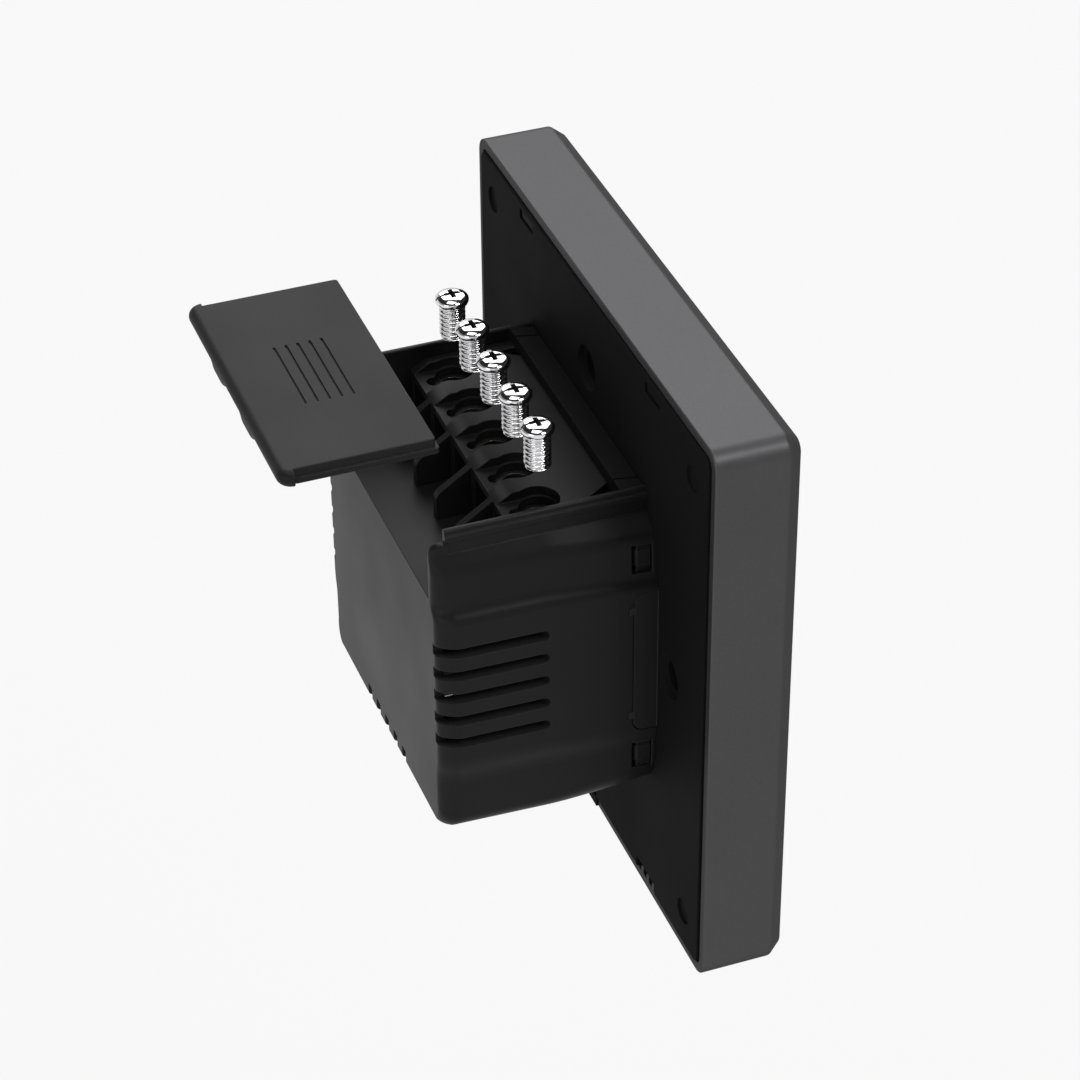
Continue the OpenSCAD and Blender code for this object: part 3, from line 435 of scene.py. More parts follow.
def box_ring(half_x, half_z, corner, y, steps=10):
    """Points of a rectangle with rounded corners that stands in the wall's plane, at depth y."""
    ring = []
    for angle, x_side, z_side in ((0, 1, 1), (90, -1, 1), (180, -1, -1), (270, 1, -1)):
        centre = (x_side * (half_x - corner), z_side * (half_z - corner))
        ring += [(x, y, z) for x, z in arc(centre, corner, angle, angle + 90, steps)]
    return ring


def loft(rings, joined=False):
    """Points and faces of a skin over rings, closed by flat ends or joined round to its first ring."""
    count = len(rings[0])
    points = [point for ring in rings for point in ring]
    faces = []
    for ring in range(len(rings) if joined else len(rings) - 1):
        below, above = ring * count, (ring + 1) % len(rings) * count
        for index in range(count):
            after = (index + 1) % count
            faces.append((below + index, below + after, above + after, above + index))
    if not joined:
        faces.append(tuple(range(count))[::-1])
        faces.append(tuple(range(len(points) - count, len(points))))
    return points, faces


def block(low, high):
    """Points and faces of a block between two corners."""
    (x0, y0, z0), (x1, y1, z1) = low, high
    points = [(x, y, z) for x in (x0, x1) for y in (y0, y1) for z in (z0, z1)]
    return points, [(0, 1, 3, 2), (4, 6, 7, 5), (0, 4, 5, 1), (2, 3, 7, 6), (0, 2, 6, 4), (1, 5, 7, 3)]


def facing(axis, across, up, along):
    """A point from its measures across an axis and along it."""
    return {"x": (along, across, up), "y": (across, along, up), "z": (across, up, along)}[axis]


def turned_shape(profile, centre, axis, steps=48):
    """A closed shell turned about an axis through a centre, from (radius, height) pairs."""
    turns = [2 * pi * step / steps for step in range(steps)]
    rings = []
    for radius, level in profile:
        ring = [facing(axis, radius * cos(turn), radius * sin(turn), level) for turn in turns]
        rings.append([tuple(middle + side for middle, side in zip(centre, point)) for point in ring])
    return loft(rings)


def swept(outline, axis, low, high):
    """A closed 2-D outline carried straight along an axis."""
    return loft([[facing(axis, across, up, end) for across, up in outline] for end in (low, high)])


def both_sides(shells):
    """Closed shells with their mirror images on the other side of the middle."""
    return shells + [
        ([(-x, y, z) for x, y, z in points], [face[::-1] for face in faces]) for points, faces in shells
    ]


# %% From shells to finished objects
def smooth(mesh, angle=35):
    """Smooth shading with the sharper edges kept."""
    for face in mesh.polygons:
        face.use_smooth = True
    mesh.set_sharp_from_angle(angle=radians(angle))


def shaped(name, shells, look=None, angle=35):
    """An object made of closed shells in millimetres, with merged points, outward faces and a look by name."""
    work = bmesh.new()
    for points, faces in shells:
        made = [work.verts.new(Vector(point) * mm) for point in points]
        for face in faces:
            work.faces.new([made[index] for index in face])
    bmesh.ops.remove_doubles(work, verts=work.verts, dist=0.0004 * mm)
    bmesh.ops.recalc_face_normals(work, faces=work.faces)
    mesh = bpy.data.meshes.new(name)
    work.to_mesh(mesh)
    work.free()
    smooth(mesh, angle)
    if look is not None:
        mesh.materials.append(looks[look])
    return new_object(name, mesh)


def baked(piece):
    """The piece with its modifiers applied, as a plain mesh."""
    bpy.context.view_layer.update()
    evaluated = piece.evaluated_get(bpy.context.evaluated_depsgraph_get())
    mesh = bpy.data.meshes.new_from_object(evaluated)
    piece.modifiers.clear()
    piece.data = mesh
    mesh.name = piece.name
    return piece


def combine(piece, tool, operation="DIFFERENCE", look=None):
    """An object, or a list of closed shells, cut from the piece or joined to it; new faces keep the tool's look."""
    if isinstance(tool, list):
        tool = shaped("tool", tool, look)
    step = piece.modifiers.new(operation.lower(), "BOOLEAN")
    step.operation = operation
    step.solver = "EXACT"
    step.material_mode = "TRANSFER"
    step.use_self = True
    step.object = tool
    baked(piece)
    bpy.data.objects.remove(tool)
    smooth(piece.data)


def in_place(piece, node):
    """The piece rides, is finished and stands for this node as the record says."""
    even = piece.modifiers.new("flat faces stay flat", "WEIGHTED_NORMAL")
    even.weight = 100
    even.keep_sharp = True
    baked(piece)
    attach(piece, body_of[node])
    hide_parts(node)
    print(piece.name, len(piece.data.polygons), "faces")


# %% [markdown]
# ## Repeated things
#
# Ribs, grooves, vent slots and pins come in rows. A Geometry Nodes tree takes one of them and places copies on a
# straight line, so a row needs only a count, a step and a start.

# %% Geometry Nodes tree for a row
def grown(piece, tree, values):
    """The piece after a Geometry Nodes tree with these input values."""
    step = piece.modifiers.new(tree.name, "NODES")
    step.node_group = tree
    for item in tree.interface.items_tree:
        if item.in_out == "INPUT" and item.name in values:
            step[item.identifier] = values[item.name]
    return baked(piece)


def dress(tree, result, geometry, inputs):
    """The last steps of a tree: copies made real, and the material set."""
    real = add(tree, "GeometryNodeRealizeInstances", {"Geometry": geometry})["Geometry"]
    fill(result, {"Geometry": add(tree, "GeometryNodeSetMaterial", {"Geometry": real, **inputs})["Geometry"]})


row_tree, given, result = new_group(
    "row of copies", "GeometryNodeTree",
    {"Geometry": "Geometry", "Count": "Int", "Step": "Vector", "Start": "Vector", "Material": "Material"},
    {"Geometry": "Geometry"},
)
line = add(row_tree, "GeometryNodeMeshLine", {
    "Count": given["Count"], "Start Location": given["Start"], "Offset": given["Step"],
})
copies = add(row_tree, "GeometryNodeInstanceOnPoints", {"Points": line["Mesh"], "Instance": given["Geometry"]})
dress(row_tree, result, copies["Instances"], {"Material": given["Material"]})


def row_of(name, shells, count, step, start, look):
    """A row of copies of closed shells as one object, with places in millimetres."""
    piece = grown(shaped(name, shells, look), row_tree, {
        "Count": count, "Step": [side * mm for side in step], "Start": [side * mm for side in start],
        "Material": looks[look],
    })
    smooth(piece.data)
    return piece


def merged(piece, *others):
    """The meshes of the others added to the piece, each face with the material it had."""
    work = bmesh.new()
    materials = piece.data.materials
    for item in (piece, *others):
        known = len(work.faces)
        work.from_mesh(item.data)
        work.faces.ensure_lookup_table()
        for face in work.faces[known:]:
            look = item.data.materials[face.material_index]
            if look.name not in materials:
                materials.append(look)
            face.material_index = materials.find(look.name)
    work.to_mesh(piece.data)
    work.free()
    for item in others:
        bpy.data.objects.remove(item)
    smooth(piece.data)
    return piece


# %% [markdown]
# ## Metal frame
#
# The frame is one ring of cast metal: a flat outer wall, a sloped front edge, a lip and pocket for the glass, a thin
# ledge, and the rim that ends just short of the wall. Such a ring is one outline carried round a square with rounded
# corners. Each corner of the outline gets its own small radius, because the narrow light lines along the rim and
# the slope are what make the metal look real.

# %% Frame as one outline carried round a square
frame_outline = [
    (0, -0.3), (0, -10.3), (1.5, -12.3), (2.4, -12.3), (2.4, -10.5), (4.4, -10.5), (4.4, -9.5), (1.4, -9.5),
    (1.4, -0.3),
]
outline_cuts = [0.22, 0.3, 0.25, 0.15, 0.05, 0.1, 0.1, 0.1, 0.18]
frame_half, frame_corner, least_corner = 43, 2.6, 1.5
rings = [
    box_ring(frame_half - inset, frame_half - inset, max(frame_corner - inset, least_corner), y)
    for inset, y in eased(frame_outline, outline_cuts, closed=True)
]
metal_frame = shaped("metal_frame_ring", [loft(rings, joined=True)], "dark_anodised")
pry_notch = block((-4.05, -1.8, -44), (4.05, 0.5, -41.45))
combine(metal_frame, [pry_notch])

rib = [swept([(-1.0, -41.7), (-0.3, -41.7), (-0.3, -40.7), (-0.5, -40.5), (-1.0, -40.5)], "x", -0.32, 0.32)]
key_ribs = [
    row_of("key ribs", rib, 3, (1.95, 0, 0), (first_x, 0, 0), "dark_anodised") for first_x in (-24.85, 20.95)
]
in_place(merged(metal_frame, *key_ribs), "metal_frame")

# %% [markdown]
# ## Front glass
#
# The glass lies flush in the frame's lip with a hair of room round it. Its edges are ground, so both rims of the
# plate get a narrow bevel, and its skin is a stack of four rings.

# %% Glass with ground edges
glass_half, glass_corner, glass_front, glass_back, ground = 40.5, 1.6, -12.3, -10.8, 0.18
levels = ((ground, glass_front), (0, glass_front + ground), (0, glass_back - ground), (ground, glass_back))
glass = [box_ring(glass_half - inset, glass_half - inset, glass_corner - inset, y) for inset, y in levels]
in_place(shaped("front_glass_pane", [loft(glass)], "cover_glass", angle=25), "front_glass")

# %% [markdown]
# ## Mounting plate
#
# The plate is a thin moulded square. Its fixing holes lie in shallow dishes, so a screw head can centre itself, and
# the four dimples in the corners are marks of the mould. Each round form is a turned tool that is cut from the
# plate, with its own soft lip. A filler, posts and catches stand on the plate where the box is held.

# %% Plate with dished holes, windows and dimples
plate_half, plate_corner = 41.45, 1.6
plate_rings = [
    box_ring(plate_half - inset, plate_half - inset, plate_corner - inset, y, 8)
    for inset, y in ((0.15, -2), (0, -1.85), (0, -0.25), (0.07, -0.07), (0.25, 0))
]
plate = shaped("mounting_plate_moulded", [loft(plate_rings)], "plate_plastic")
dish = [
    (0, 0.6), (3.5, 0.6), (3.24, 0.02), (3.1, -0.1), (2.9, -0.5), (2.7, -0.66), (2.3, -0.72), (2.14, -0.84),
    (2.1, -2.5), (0, -2.5),
]
dimple = [(0, 0.6), (2.2, 0.6), (1.98, 0.02), (1.9, -0.06), (1.86, -0.34), (1.76, -0.4), (0, -0.4)]
cuts = [turned_shape(dish, (x, 0, z), "y") for x, z in ((30, 0), (-30, 0), (0, 30), (0, -30))]
cuts += [turned_shape(dimple, (x, 0, z), "y") for x in (-36.4, 36.4) for z in (-35.8, 35.8)]
snap_window, rib_window = block((20.5, -3, 38.95), (25.5, 1, 40.55)), block((19.55, -3, -43), (26.25, 1, -39.5))
socket_window = block((-6.95, -3, -3.14), (6.95, 1, 3.14))
combine(plate, cuts + both_sides([snap_window, rib_window]) + [socket_window])

# %% Filler, posts and catches on the plate
filler_x, filler_round, filler_turn_at = 24.2, 1.54, (1.8, 9.8)
post_z = 8.7
catch_faces = ((16, 22.938), (-16, 23.738))


def filler_ring(x, inset, draft):
    """The outline of the flush filler between the catches, drawn in a little and leaning with the box's side."""
    reach, (turn_y, turn_z) = filler_round - inset, filler_turn_at
    corners = [
        (turn_y + reach * sin(turn), side * (turn_z + reach * cos(turn)))
        for side, turns in ((-1, range(0, 91, 15)), (1, range(90, -1, -15)))
        for turn in map(radians, turns)
    ]
    outline = [(-0.5, -turn_z - reach), *corners, (-0.5, turn_z + reach)]
    return [(x - draft * max(y, 0), y, z) for y, z in outline]


draft = 1.6 / 15
filler = [filler_ring(filler_x, 0, 0), filler_ring(26.12, 0, draft), filler_ring(26.22, 0.08, draft)]
shells = [block((23.145, -1, -11.4), (24.345, 5.2, 10.2)), loft(filler)]
for z, face in catch_faces:
    shells.append(block((face - 1.2, -1, z - 2), (face, 4.8, z + 2)))
    ramp = [(face - 0.1, 0.6), (face + 1.6, 0.6), (face + 1.5, 2.4), (face + 1.1, 2.85), (face - 0.1, 3.0)]
    shells.append(swept(ramp, "z", z - 1.25, z + 1.25))
    for low in (z - 2.05, z + 1.2):
        shells.append(block((face - 0.1, 0.6, low), (face + 1.6, 2.6, low + 0.85)))
for z in (-17, 7.9):
    post = [(2.1, -1), (2.1, 3.3), (2.0, 3.4), (1.0, 3.4), (1.0, -0.5), (0, -0.5)]
    shells.append(turned_shape(post, (18, 0, z), "y"))
catches = shaped("catches", both_sides(shells), "catches")
posts = [block((filler_x, 2.9, z - 0.55), (25.95, 3.95, z + 0.55)) for z in (-post_z, post_z)]
posts = shaped("snap posts", both_sides(posts), "inner_plastic")
tab = shaped("pry tab", [block((-3.9, -1.65, -42.9), (3.9, 0, -40.5))], "plate_plastic")
in_place(merged(plate, catches, posts, tab), "mounting_plate")

# %% [markdown]
# ## Rear box
#
# The box is moulded with draft, so every outline behind the wall plane is a little smaller than the one before it.
# Its lower corners have a larger radius near the plate, where the underside rises to meet the sides. Its rear edge
# is rounded by almost three millimetres low down and by little more than one at the top, where the bay's wall needs
# its strength, and that change draws the S-shaped line near the corner. So each point of the outline bends in over a
# length of its own, with a faint crease where the bend starts.

# %% Outlines of the rear box
box_depth, waist_y, bay_half = 29.7, 15, 20.7


def mix(a, b, share):
    """The value a share of the way from a to b."""
    return a + (b - a) * share


def soft_share(value):
    """A share held between 0 and 1, with soft shoulders."""
    share = min(max(value, 0), 1)
    return share * share * (3 - 2 * share)


def box_half(y):
    """Half width of the box at a depth."""
    if y < waist_y:
        return mix(26.3, 24.7, y / waist_y)
    return mix(24.7, 24.3, (y - waist_y) / (box_depth - waist_y))


def box_drop(y):
    """How far the underside lies below the middle at a depth."""
    return mix(23.6, 23.25, y / box_depth)


def corner_radius(y):
    """Radius of the lower corners of the outline at a depth: larger near the plate."""
    return 2.4 + 4.6 * max(1 - y / waist_y, 0) ** 1.3


def side_outline(y, wall=0.0):
    """Right half of the box's outline at a depth, from the top of its side to its underside, as (x, z)."""
    half, drop, corner = box_half(y) - wall, box_drop(y) - wall, corner_radius(y) - wall
    if wall:
        thick = half - 0.7
        side = [(half - 1.4, 12.8), (half - 1.4, 11.3), (thick, 10.7), (thick, -12.0), (half - 0.6, -12.7)]
        side = eased(side, [0, 0.1, 0.1, 0.1, 0], 2)
    else:
        side = [
            (21.6, 21.2), (half - 1.5, 18.9), (half - 1.1, 13.2), (half, 12.0), (half, -11.7), (half - 0.6, -14.1),
            (half - 0.6, -15.7),
        ]
        side = eased(side, [0, 1.2, 0.7, 0.7, 1.1, 1.1, 0], 5)
    return side + arc((half - 0.6 - corner, -drop + corner), corner, 0, -90, arc_points - 1)


def edge_radius(z):
    """How far before the rear face the edge's bend starts at a height: far low down, near it on the bay's wall."""
    return mix(2.8, 1.15, soft_share((z - 14.5) / (21.4 - 14.5)))


def full_ring(right_half):
    """A ring from its right half and the mirror image of that."""
    return right_half + [(-x, y, z) for x, y, z in reversed(right_half)]


arc_points = 11
outer_rings = [
    full_ring([(x, y, z) for x, z in side_outline(y)]) for y in (0, 2, 4, 6, 8, 10, 12, 13.5, waist_y, 24)
]
bend_from, bend_steps, last_radius = radians(30), 7, 1.0
radii_from = side_outline(27)
arc_from = len(radii_from) - arc_points
for step in range(bend_steps + 1):
    turn = mix(bend_from, radians(90), step / bend_steps)
    half_ring = []
    for index, (at_x, at_z) in enumerate(radii_from):
        along_arc = max(index - arc_from, 0) / (arc_points - 1)
        radius = mix(edge_radius(at_z), last_radius, along_arc)
        y = box_depth - radius * (1 - sin(turn)) / (1 - sin(bend_from))
        inset = 0.78 * radius * (1 - cos(turn) / cos(bend_from))
        x, z = side_outline(y)[index]
        half_ring.append((x - inset, y, z + inset if index >= arc_from else z))
    outer_rings.append(full_ring(half_ring))
wall = 1.3
hollow = [full_ring([(x, y, z) for x, z in side_outline(y, wall)]) for y in (-1, 4, 11, waist_y, box_depth - wall)]
print("rear box outline", len(outer_rings), "rings of", len(outer_rings[0]), "points")

# %% Rear box with its bay, windows, reliefs and vents
wall_outline = eased([
    (bay_half, 19.6), (21.5, 19.6), (21.5, 23.05), (21.85, 23.2), (21.85, 23.95), (21.5, 24.1), (21.5, 24.55),
    (21.28, 24.8), (20.85, 24.8), (bay_half, 24.65),
], [0.02, 0.02, 0.06, 0.1, 0.1, 0.06, 0.08, 0.08, 0.05, 0.05], 3, closed=True)
box = shaped("rear_box_moulded", [loft(outer_rings)], "box_plastic")
ear, ear_x, ear_front, rounding = [], 21.6, 27.0, 0.62
for z, back_y in ((19.6, 29.7), (21.4, 29.7), (21.9, 29.6), (22.3, 29.35), (22.6, 28.95), (22.75, 28.4)):
    ear.append([(bay_half, ear_front, z), (bay_half, back_y, z), (ear_x - rounding, back_y, z)] + [
        (ear_x - rounding + rounding * sin(turn), back_y - rounding + rounding * cos(turn), z)
        for turn in (radians(18 * step) for step in range(1, 6))
    ] + [(ear_x, ear_front, z)])
front_wall = swept([(0, 20.4), (3.4, 20.4), (3.4, 24.68), (3.25, 24.8), (0, 24.25)], "x", -21.2, 21.2)
combine(box, both_sides([swept(wall_outline, "y", 0.0, 27.6), loft(ear)]), "UNION")
combine(box, [front_wall], "UNION", "plate_plastic")
combine(box, [loft(hollow)])
combine(box, [
    block((-bay_half, 3.4, 14.2), (bay_half, 31, 26)),
    block((-bay_half, 3.4, 11.8), (bay_half, 18.1, 15)),
])
relief_x, beyond = 24.295, 27.6
side_cuts = [
    block((18.15, -1, 23.3), (18.45, 3.6, 26)),
    block((relief_x, -1, -9.8), (beyond, 3.4, 9.8)),
    block((relief_x, -1.2, -11.4), (beyond, 1.8, 11.4)),
]
for side in (-1, 1):
    side_cuts.append(turned_shape([(1.6, relief_x), (1.6, beyond)], (0, 1.8, side * 9.8), "x", 32))
    side_cuts.append(block((relief_x, -1.4, side * post_z - 0.6), (beyond, 4.0, side * post_z + 0.6)))
for z, face in catch_faces:
    side_cuts.append(block((face - 1.35, -1, z - 2.15), (face + 0.15, 4.95, z + 2.15)))
    side_cuts.append(block((face - 0.15, 0.5, z - 2.15), (beyond, 3.2, z + 2.15)))
combine(box, both_sides(side_cuts))

vent_half, vent_pitch, vent_front = 0.8, 3.7, 15.4
vent_outline = arc((vent_front, 0), vent_half, 90, 270, 12) + [(31, -vent_half), (31, vent_half)]
side_slot = [swept(vent_outline, "x", 21.8, beyond)]
lower_slot = [swept([(across, along) for along, across in vent_outline], "z", -26.3, -20.8)]
# The vent slots' cut faces take the lighter tone, painted light
right_vents = row_of("right side vents", side_slot, 5, (0, 0, vent_pitch), (0, 0, -7.75), "slot_faces_painted_light")
lower_vents = row_of("lower vents", lower_slot, 5, (vent_pitch, 0, 0), (-2 * vent_pitch, 0, 0), "slot_faces_painted_light")
left_vents = new_object("left side vents", right_vents.data.copy())
left_vents.data.transform(Matrix.Scale(-1, 4, (1, 0, 0)))
left_vents.data.flip_normals()
for vents in (right_vents, left_vents, lower_vents):
    combine(box, vents)
in_place(box, "rear_box")

# %% [markdown]
# ## Terminal block and the parts inside
#
# These nodes already have the right shape, down to the channels and key-shaped holes, so their own meshes are used.
# A model's mesh is loose flat triangles, though. A copy gets its doubled points merged and its flat faces joined
# again, a narrow bevel rounds the sharp edges, and normals weighted by area keep the large faces flat.

# %% Softened copies
def softened(node, width):
    """A copy of a node's mesh with its sharp edges rounded by a bevel of that width in millimetres."""
    sharp = 35
    mesh = frame["nodes"][node].data.copy()
    work = bmesh.new()
    work.from_mesh(mesh)
    bmesh.ops.remove_doubles(work, verts=work.verts, dist=0.002 * mm)
    bmesh.ops.dissolve_limit(work, angle_limit=radians(0.4), verts=work.verts, edges=work.edges)
    work.to_mesh(mesh)
    work.free()
    smooth(mesh, sharp)
    mesh.materials.clear()
    mesh.materials.append(looks.get(node) or looks[slot_of[node]])
    piece = new_object(node + "_finished", mesh)
    bevel = piece.modifiers.new("rounded edges", "BEVEL")
    bevel.width = width * mm
    bevel.segments = 2
    bevel.limit_method = "ANGLE"
    bevel.angle_limit = radians(sharp)
    return baked(piece)


for node, width in (
    ("terminal_block", 0.12), ("terminal_clamps", 0.08), ("inner_carrier", 0.12), ("shield_can", 0.05),
    ("microphones", 0.1), ("board_socket", 0.08), ("speaker", 0.25), ("relays", 0.35), ("transformer", 0.3),
    ("display_module", 0.15), ("power_board", 0.05), ("main_board", 0.05),
):
    in_place(softened(node, width), node)

# %% [markdown]
# ## Capacitors, fuse, small screws and pins
#
# Round parts are turned from a profile: a capacitor has a groove near its foot and a crimped top, and a fuse has a
# metal cap at each end. The small screws share one profile with a dished head, and both rows of pins come from the
# row tree, with pointed tips.

# %% Turned parts on the boards
def box_mm(node):
    """Lowest and highest corner of a node in millimetres."""
    low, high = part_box(node)
    return [side / mm for side in low], [side / mm for side in high]


low, high = box_mm("bulk_capacitors")
radius, foot, top = (high[2] - low[2]) / 2, low[1], high[1]
can_profile = [
    (0, foot), (radius - 0.5, foot), (radius, foot + 0.5), (radius, foot + 1.5), (radius - 0.2, foot + 1.8),
    (radius, foot + 2.1), (radius, top - 0.7), (radius - 0.2, top - 0.3), (radius - 0.7, top),
    (radius - 0.9, top - 0.1), (0, top - 0.1),
]
middle_z = (low[2] + high[2]) / 2
capacitors = [turned_shape(can_profile, (x, 0, middle_z), "y") for x in (low[0] + radius, high[0] - radius)]
in_place(shaped("bulk_capacitors_sleeved", capacitors, "capacitor_sleeve"), "bulk_capacitors")

low, high = box_mm("input_fuse")
radius, cap_length = (high[2] - low[2]) / 2, 2.6
near, far = low[0], high[0]
fuse_profile = [
    (0, near), (radius - 0.3, near), (radius, near + 0.3), (radius, near + cap_length),
    (radius - 0.2, near + cap_length + 0.1), (radius - 0.2, far - cap_length - 0.1), (radius, far - cap_length),
    (radius, far - 0.3), (radius - 0.3, far), (0, far),
]
fuse = turned_shape(fuse_profile, (0, (low[1] + high[1]) / 2, (low[2] + high[2]) / 2), "x")
in_place(shaped("input_fuse_capped", [fuse], "tin_plate"), "input_fuse")

head_h, head_r, thread_r = 1.1, 1.9, 1.0
for node in ("main_board_screws", "power_board_screws"):
    low, high = box_mm(node)
    seat, tip = high[1] - head_h, low[1]
    profile = [
        (0, tip), (thread_r - 0.3, tip), (thread_r, tip + 0.3), (thread_r, seat), (head_r, seat), (head_r, seat + 0.4),
        (head_r - 0.35, seat + 0.9), (head_r - 0.9, seat + head_h), (0.75, seat + head_h), (0.4, seat + 0.5),
        (0, seat + 0.5),
    ]
    places = [(x, 0, z) for x in (low[0] + head_r, high[0] - head_r) for z in (low[2] + head_r, high[2] - head_r)]
    shells = [turned_shape(profile, place, "y", 32) for place in places]
    in_place(shaped(node + "_turned", shells, "tin_plate"), node)

low, high = box_mm("pin_header")
pitch, pin_half, body_t = 2.54, 0.32, 1
pin = loft([
    [(x * half, y, z * half) for x, z in ((1, 1), (-1, 1), (-1, -1), (1, -1))]
    for half, y in ((pin_half, low[1]), (pin_half, high[1] - 0.5), (pin_half / 2, high[1]))
])
header = shaped("pin_header_gilded", [block(low, (high[0], low[1] + body_t, high[2]))], "contact_gold")
rows = [
    row_of("pins", [pin], 5, (pitch, 0, 0), (-2 * pitch, 0, side * pitch / 2), "contact_gold")
    for side in (-1, 1)
]
in_place(merged(header, *rows), "pin_header")

low, high = box_mm("glass_gasket")
foam_width, foam_corner = 1.9, 1.6
ring = [(inset, y) for inset, y in ((0, low[1]), (0, high[1]), (foam_width, high[1]), (foam_width, low[1]))]
foam = loft([box_ring(high[0] - inset, high[2] - inset, foam_corner, y) for inset, y in ring], joined=True)
in_place(shaped("glass_gasket_foam", [foam], "gasket_foam"), "glass_gasket")

# %% [markdown]
# ## Terminal cover
#
# The cover is a thin lid on a slightly wider rail, with a thick lip along its rear edge. The lip is rounded all
# round its ends, and its lower edge swells into two finger tabs. Its section is swept from one end to the other:
# first turned about the end, then carried along with a lower edge that dips where a tab is, and turned again. Five
# plain grooves give grip on the top.

# %% Cover from a lid, a rail and a swept lip
cover_y, cover_z = 18.9, 13.2
lip_front, lip_top, lip_low, lip_end = 27.7 + cover_y, 25.2 + cover_z, 22.9 + cover_z, 19.5
lip_reach, lip_round, tab_drop, tab_at = 2.0, 1.1, 0.8, 6.5


def lip_section(drop):
    """The lip's outline as (reach, height) from its inner top edge round its outer side to its inner bottom."""
    inner = lip_reach - lip_round
    outline = [(0, lip_top)] + arc((inner, lip_top - lip_round), lip_round, 90, 0, 6)
    outline += arc((inner, lip_low + lip_round - drop), lip_round, 0, -90, 6)
    return outline + [(0.82, lip_low - 0.95 * drop), (0.7, lip_low - 0.7 * drop), (0.55, lip_low), (0, lip_low)]


def lip_ring(x, outwards, backwards, drop=0):
    """The lip's section at x, with these shares of its reach out of the cover's end and straight back."""
    return [(x + reach * outwards, lip_front + reach * backwards, z) for reach, z in lip_section(drop)]


def tab_dip(x):
    """How far the lip's lower edge dips at x, with soft shoulders."""
    return tab_drop * soft_share((3.1 - abs(abs(x) - tab_at)) / 1.5)


quarter = [radians(90 * step / 8) for step in range(9)]
sections = [lip_ring(-lip_end, -cos(turn), sin(turn)) for turn in quarter]
sections += [lip_ring(x, 0, 1, tab_dip(x)) for x in (-lip_end + 0.5 * step for step in range(1, 78))]
sections += [lip_ring(lip_end, cos(turn), sin(turn)) for turn in reversed(quarter)]


def slab(half, y_low, y_high, levels, corner):
    """A flat plate lying level, from (inset, height) pairs."""
    middle, reach = (y_low + y_high) / 2, (y_high - y_low) / 2
    rings = [
        [(x, middle + y, level) for x, level, y in box_ring(half - inset, reach - inset, corner, z, 6)]
        for inset, z in levels
    ]
    return loft(rings)


lid = slab(20.3, 9.0 + cover_y, 28.7 + cover_y, [(0, 37.0), (0, 38.2), (0.06, 38.34), (0.2, 38.4)], 0.5)
rail = slab(20.55, 8.6 + cover_y, 27.6 + cover_y, [(0.1, 36.2), (0, 36.3), (0, 37.02), (0.08, 37.1)], 0.4)
cover = shaped("terminal_cover_moulded", [loft(sections)], "cover_plastic")
combine(cover, [lid], "UNION")
combine(cover, [rail], "UNION")
groove = [swept([(-0.15, 38.15), (0.15, 38.15), (0.22, 38.5), (-0.22, 38.5)], "x", -7, 7)]
groove_step, groove_middle = 1.6, (7.6 + 28.7) / 2 + 0.5 + cover_y
combine(cover, row_of(
    "grip grooves", groove, 5, (0, groove_step, 0), (0, groove_middle - 2 * groove_step, 0), "cover_plastic",
))
in_place(cover, "terminal_cover")

# %% [markdown]
# ## Terminal screws
#
# Each screw has a domed head with a tapered underside, a slot right across, a shorter and deeper slot across that,
# and a fine thread. The head is turned and cut once. A Geometry Nodes tree grows the thread from a flat grid: one
# direction goes round the shank, the other down it, and the radius follows the helix. The tree also puts
# the screw in its place, so the same head serves all five.

# %% Screw head
head_profile = [(0, 0.35), (1.3, 0.3), (1.55, 0.0), (1.9, 0.12), (2.18, 0.34), (2.28, 0.6), (2.3, 0.85)]
dome_end = radians(80)
for step in range(9):
    turn = dome_end * step / 8
    head_profile.append((2.3 * cos(turn) ** 0.8, 0.85 + 0.85 * sin(turn) / sin(dome_end)))
head_profile.append((0, 1.7))
screw_head = shaped("screw head", [turned_shape(head_profile, (0, 0, 0), "z", 64)], "screw_metal")
slot_outline = [(-0.12, 0.95), (0.12, 0.95), (0.2, 1.9), (-0.2, 1.9)]
cross_outline = [(-0.2, 0.5), (0.2, 0.5), (0.36, 1.9), (-0.36, 1.9)]
# The slots' faces take the dark recess metal, a painted shade
combine(screw_head, [
    swept(slot_outline, "y", -2.6, 2.6), swept(cross_outline, "y", -1.05, 1.05), swept(cross_outline, "x", -1.05, 1.05),
], look="screw_recess")
print("screw head", len(screw_head.data.polygons), "faces")

# %% Thread tree
thread_tree, given, result = new_group("threaded shank", "GeometryNodeTree", {
    "Geometry": "Geometry", "Thread Radius": "Float", "Root Radius": "Float", "Pitch": "Float", "Length": "Float",
    "Overlap": "Float", "Place": "Vector", "Material": "Material", "Kept Material": "Material",
}, {"Geometry": "Geometry"})
reckon = partial(calculate, thread_tree)
around, along = 64, 96
grid = add(thread_tree, "GeometryNodeMeshGrid", {
    "Size X": 1, "Size Y": 1, "Vertices X": around + 1, "Vertices Y": along + 1,
})
position = split(thread_tree, add(thread_tree, "GeometryNodeInputPosition")["Position"])
round_share, down_share = reckon("ADD", position["X"], 0.5), reckon("ADD", position["Y"], 0.5)
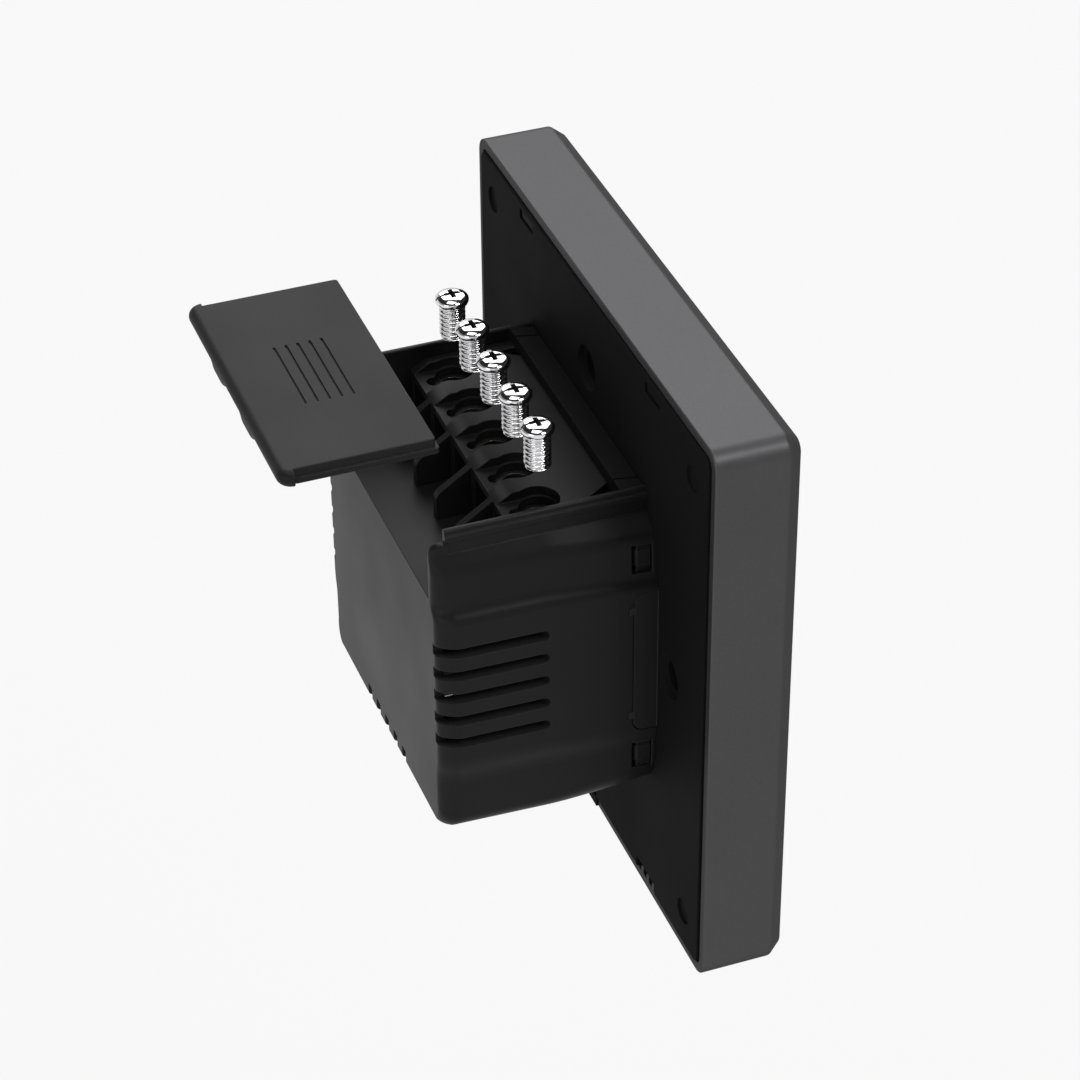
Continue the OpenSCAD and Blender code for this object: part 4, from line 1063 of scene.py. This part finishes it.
# The first and last rows of the grid close the shank's ends, so the height stops one row before each end
down = reckon("DIVIDE", reckon("SUBTRACT", down_share, 1 / along), 1 - 2 / along, clamp=True)
whole = reckon("ADD", given["Length"], given["Overlap"])
z = reckon("SUBTRACT", given["Overlap"], reckon("MULTIPLY", down, whole))
turns = reckon("ADD", reckon("DIVIDE", z, given["Pitch"]), round_share)
crest = reckon("MULTIPLY", reckon("PINGPONG", turns, 0.5), 2)
crest = reckon("MULTIPLY", reckon("SUBTRACT", crest, 0.2), 1 / 0.55, clamp=True)
depth = reckon("SUBTRACT", given["Thread Radius"], given["Root Radius"])
radius = reckon("MULTIPLY_ADD", crest, depth, given["Root Radius"])
# The tip tapers over its last half millimetre
to_tip = reckon("DIVIDE", reckon("ADD", z, given["Length"]), 0.5 * mm, clamp=True)
radius = reckon("MULTIPLY", radius, reckon("MULTIPLY_ADD", to_tip, 0.22, 0.78))
not_first = reckon("GREATER_THAN", down_share, 0.5 / along)
not_last = reckon("LESS_THAN", down_share, 1 - 0.5 / along)
radius = reckon("MULTIPLY", radius, reckon("MULTIPLY", not_first, not_last))
angle = reckon("MULTIPLY", round_share, -2 * pi)
point = add(thread_tree, "ShaderNodeCombineXYZ", {
    "X": reckon("MULTIPLY", radius, reckon("COSINE", angle)), "Y": reckon("MULTIPLY", radius, reckon("SINE", angle)),
    "Z": z,
})
bent = add(thread_tree, "GeometryNodeSetPosition", {"Geometry": grid["Mesh"], "Position": point["Vector"]})
closed = add(thread_tree, "GeometryNodeMergeByDistance", {"Geometry": bent["Geometry"], "Distance": 0.001 * mm})
joined = thread_tree.nodes.new("GeometryNodeJoinGeometry")
for part in (closed["Geometry"], given["Geometry"]):
    fill(joined, {"Geometry": part})
moved = add(thread_tree, "GeometryNodeTransform", {
    "Geometry": joined.outputs["Geometry"], "Translation": given["Place"],
})
# The recess in the head keeps the darker material it was cut with, its painted shade
recess = add(thread_tree, "GeometryNodeMaterialSelection", {"Material": given["Kept Material"]})["Selection"]
others = add(thread_tree, "FunctionNodeBooleanMath", {0: recess}, operation="NOT")["Boolean"]
dress(thread_tree, result, moved["Geometry"], {"Selection": others, "Material": given["Material"]})

# %% Five screws
terminal_pitch, screw_y, seat_z = 8.25, 13.1, 33.3
for number in range(1, 6):
    screw = new_object(f"terminal_screw_{number}_threaded", screw_head.data.copy())
    place = (terminal_pitch * (number - 3), screw_y, seat_z)
    grown(screw, thread_tree, {
        "Thread Radius": 1.8 * mm, "Root Radius": 1.47 * mm, "Pitch": 0.7 * mm, "Length": 5.3 * mm, "Overlap": 0.3 * mm,
        "Place": [side * mm for side in place], "Material": looks["screw_metal"],
        "Kept Material": looks["screw_recess"],
    })
    work = bmesh.new()
    work.from_mesh(screw.data)
    bmesh.ops.recalc_face_normals(work, faces=work.faces)
    work.to_mesh(screw.data)
    work.free()
    smooth(screw.data, 50)
    in_place(screw, f"terminal_screw_{number}")
bpy.data.objects.remove(screw_head)

# %% [markdown]
# ## Last step
#
# Each finished piece has hidden the node it stands for, and the nodes still shown as modelled are printed.

# %% Nodes still shown as modelled
left = [node for node, part in frame["nodes"].items() if not part.hide_render]
print("nodes shown as modelled", left)
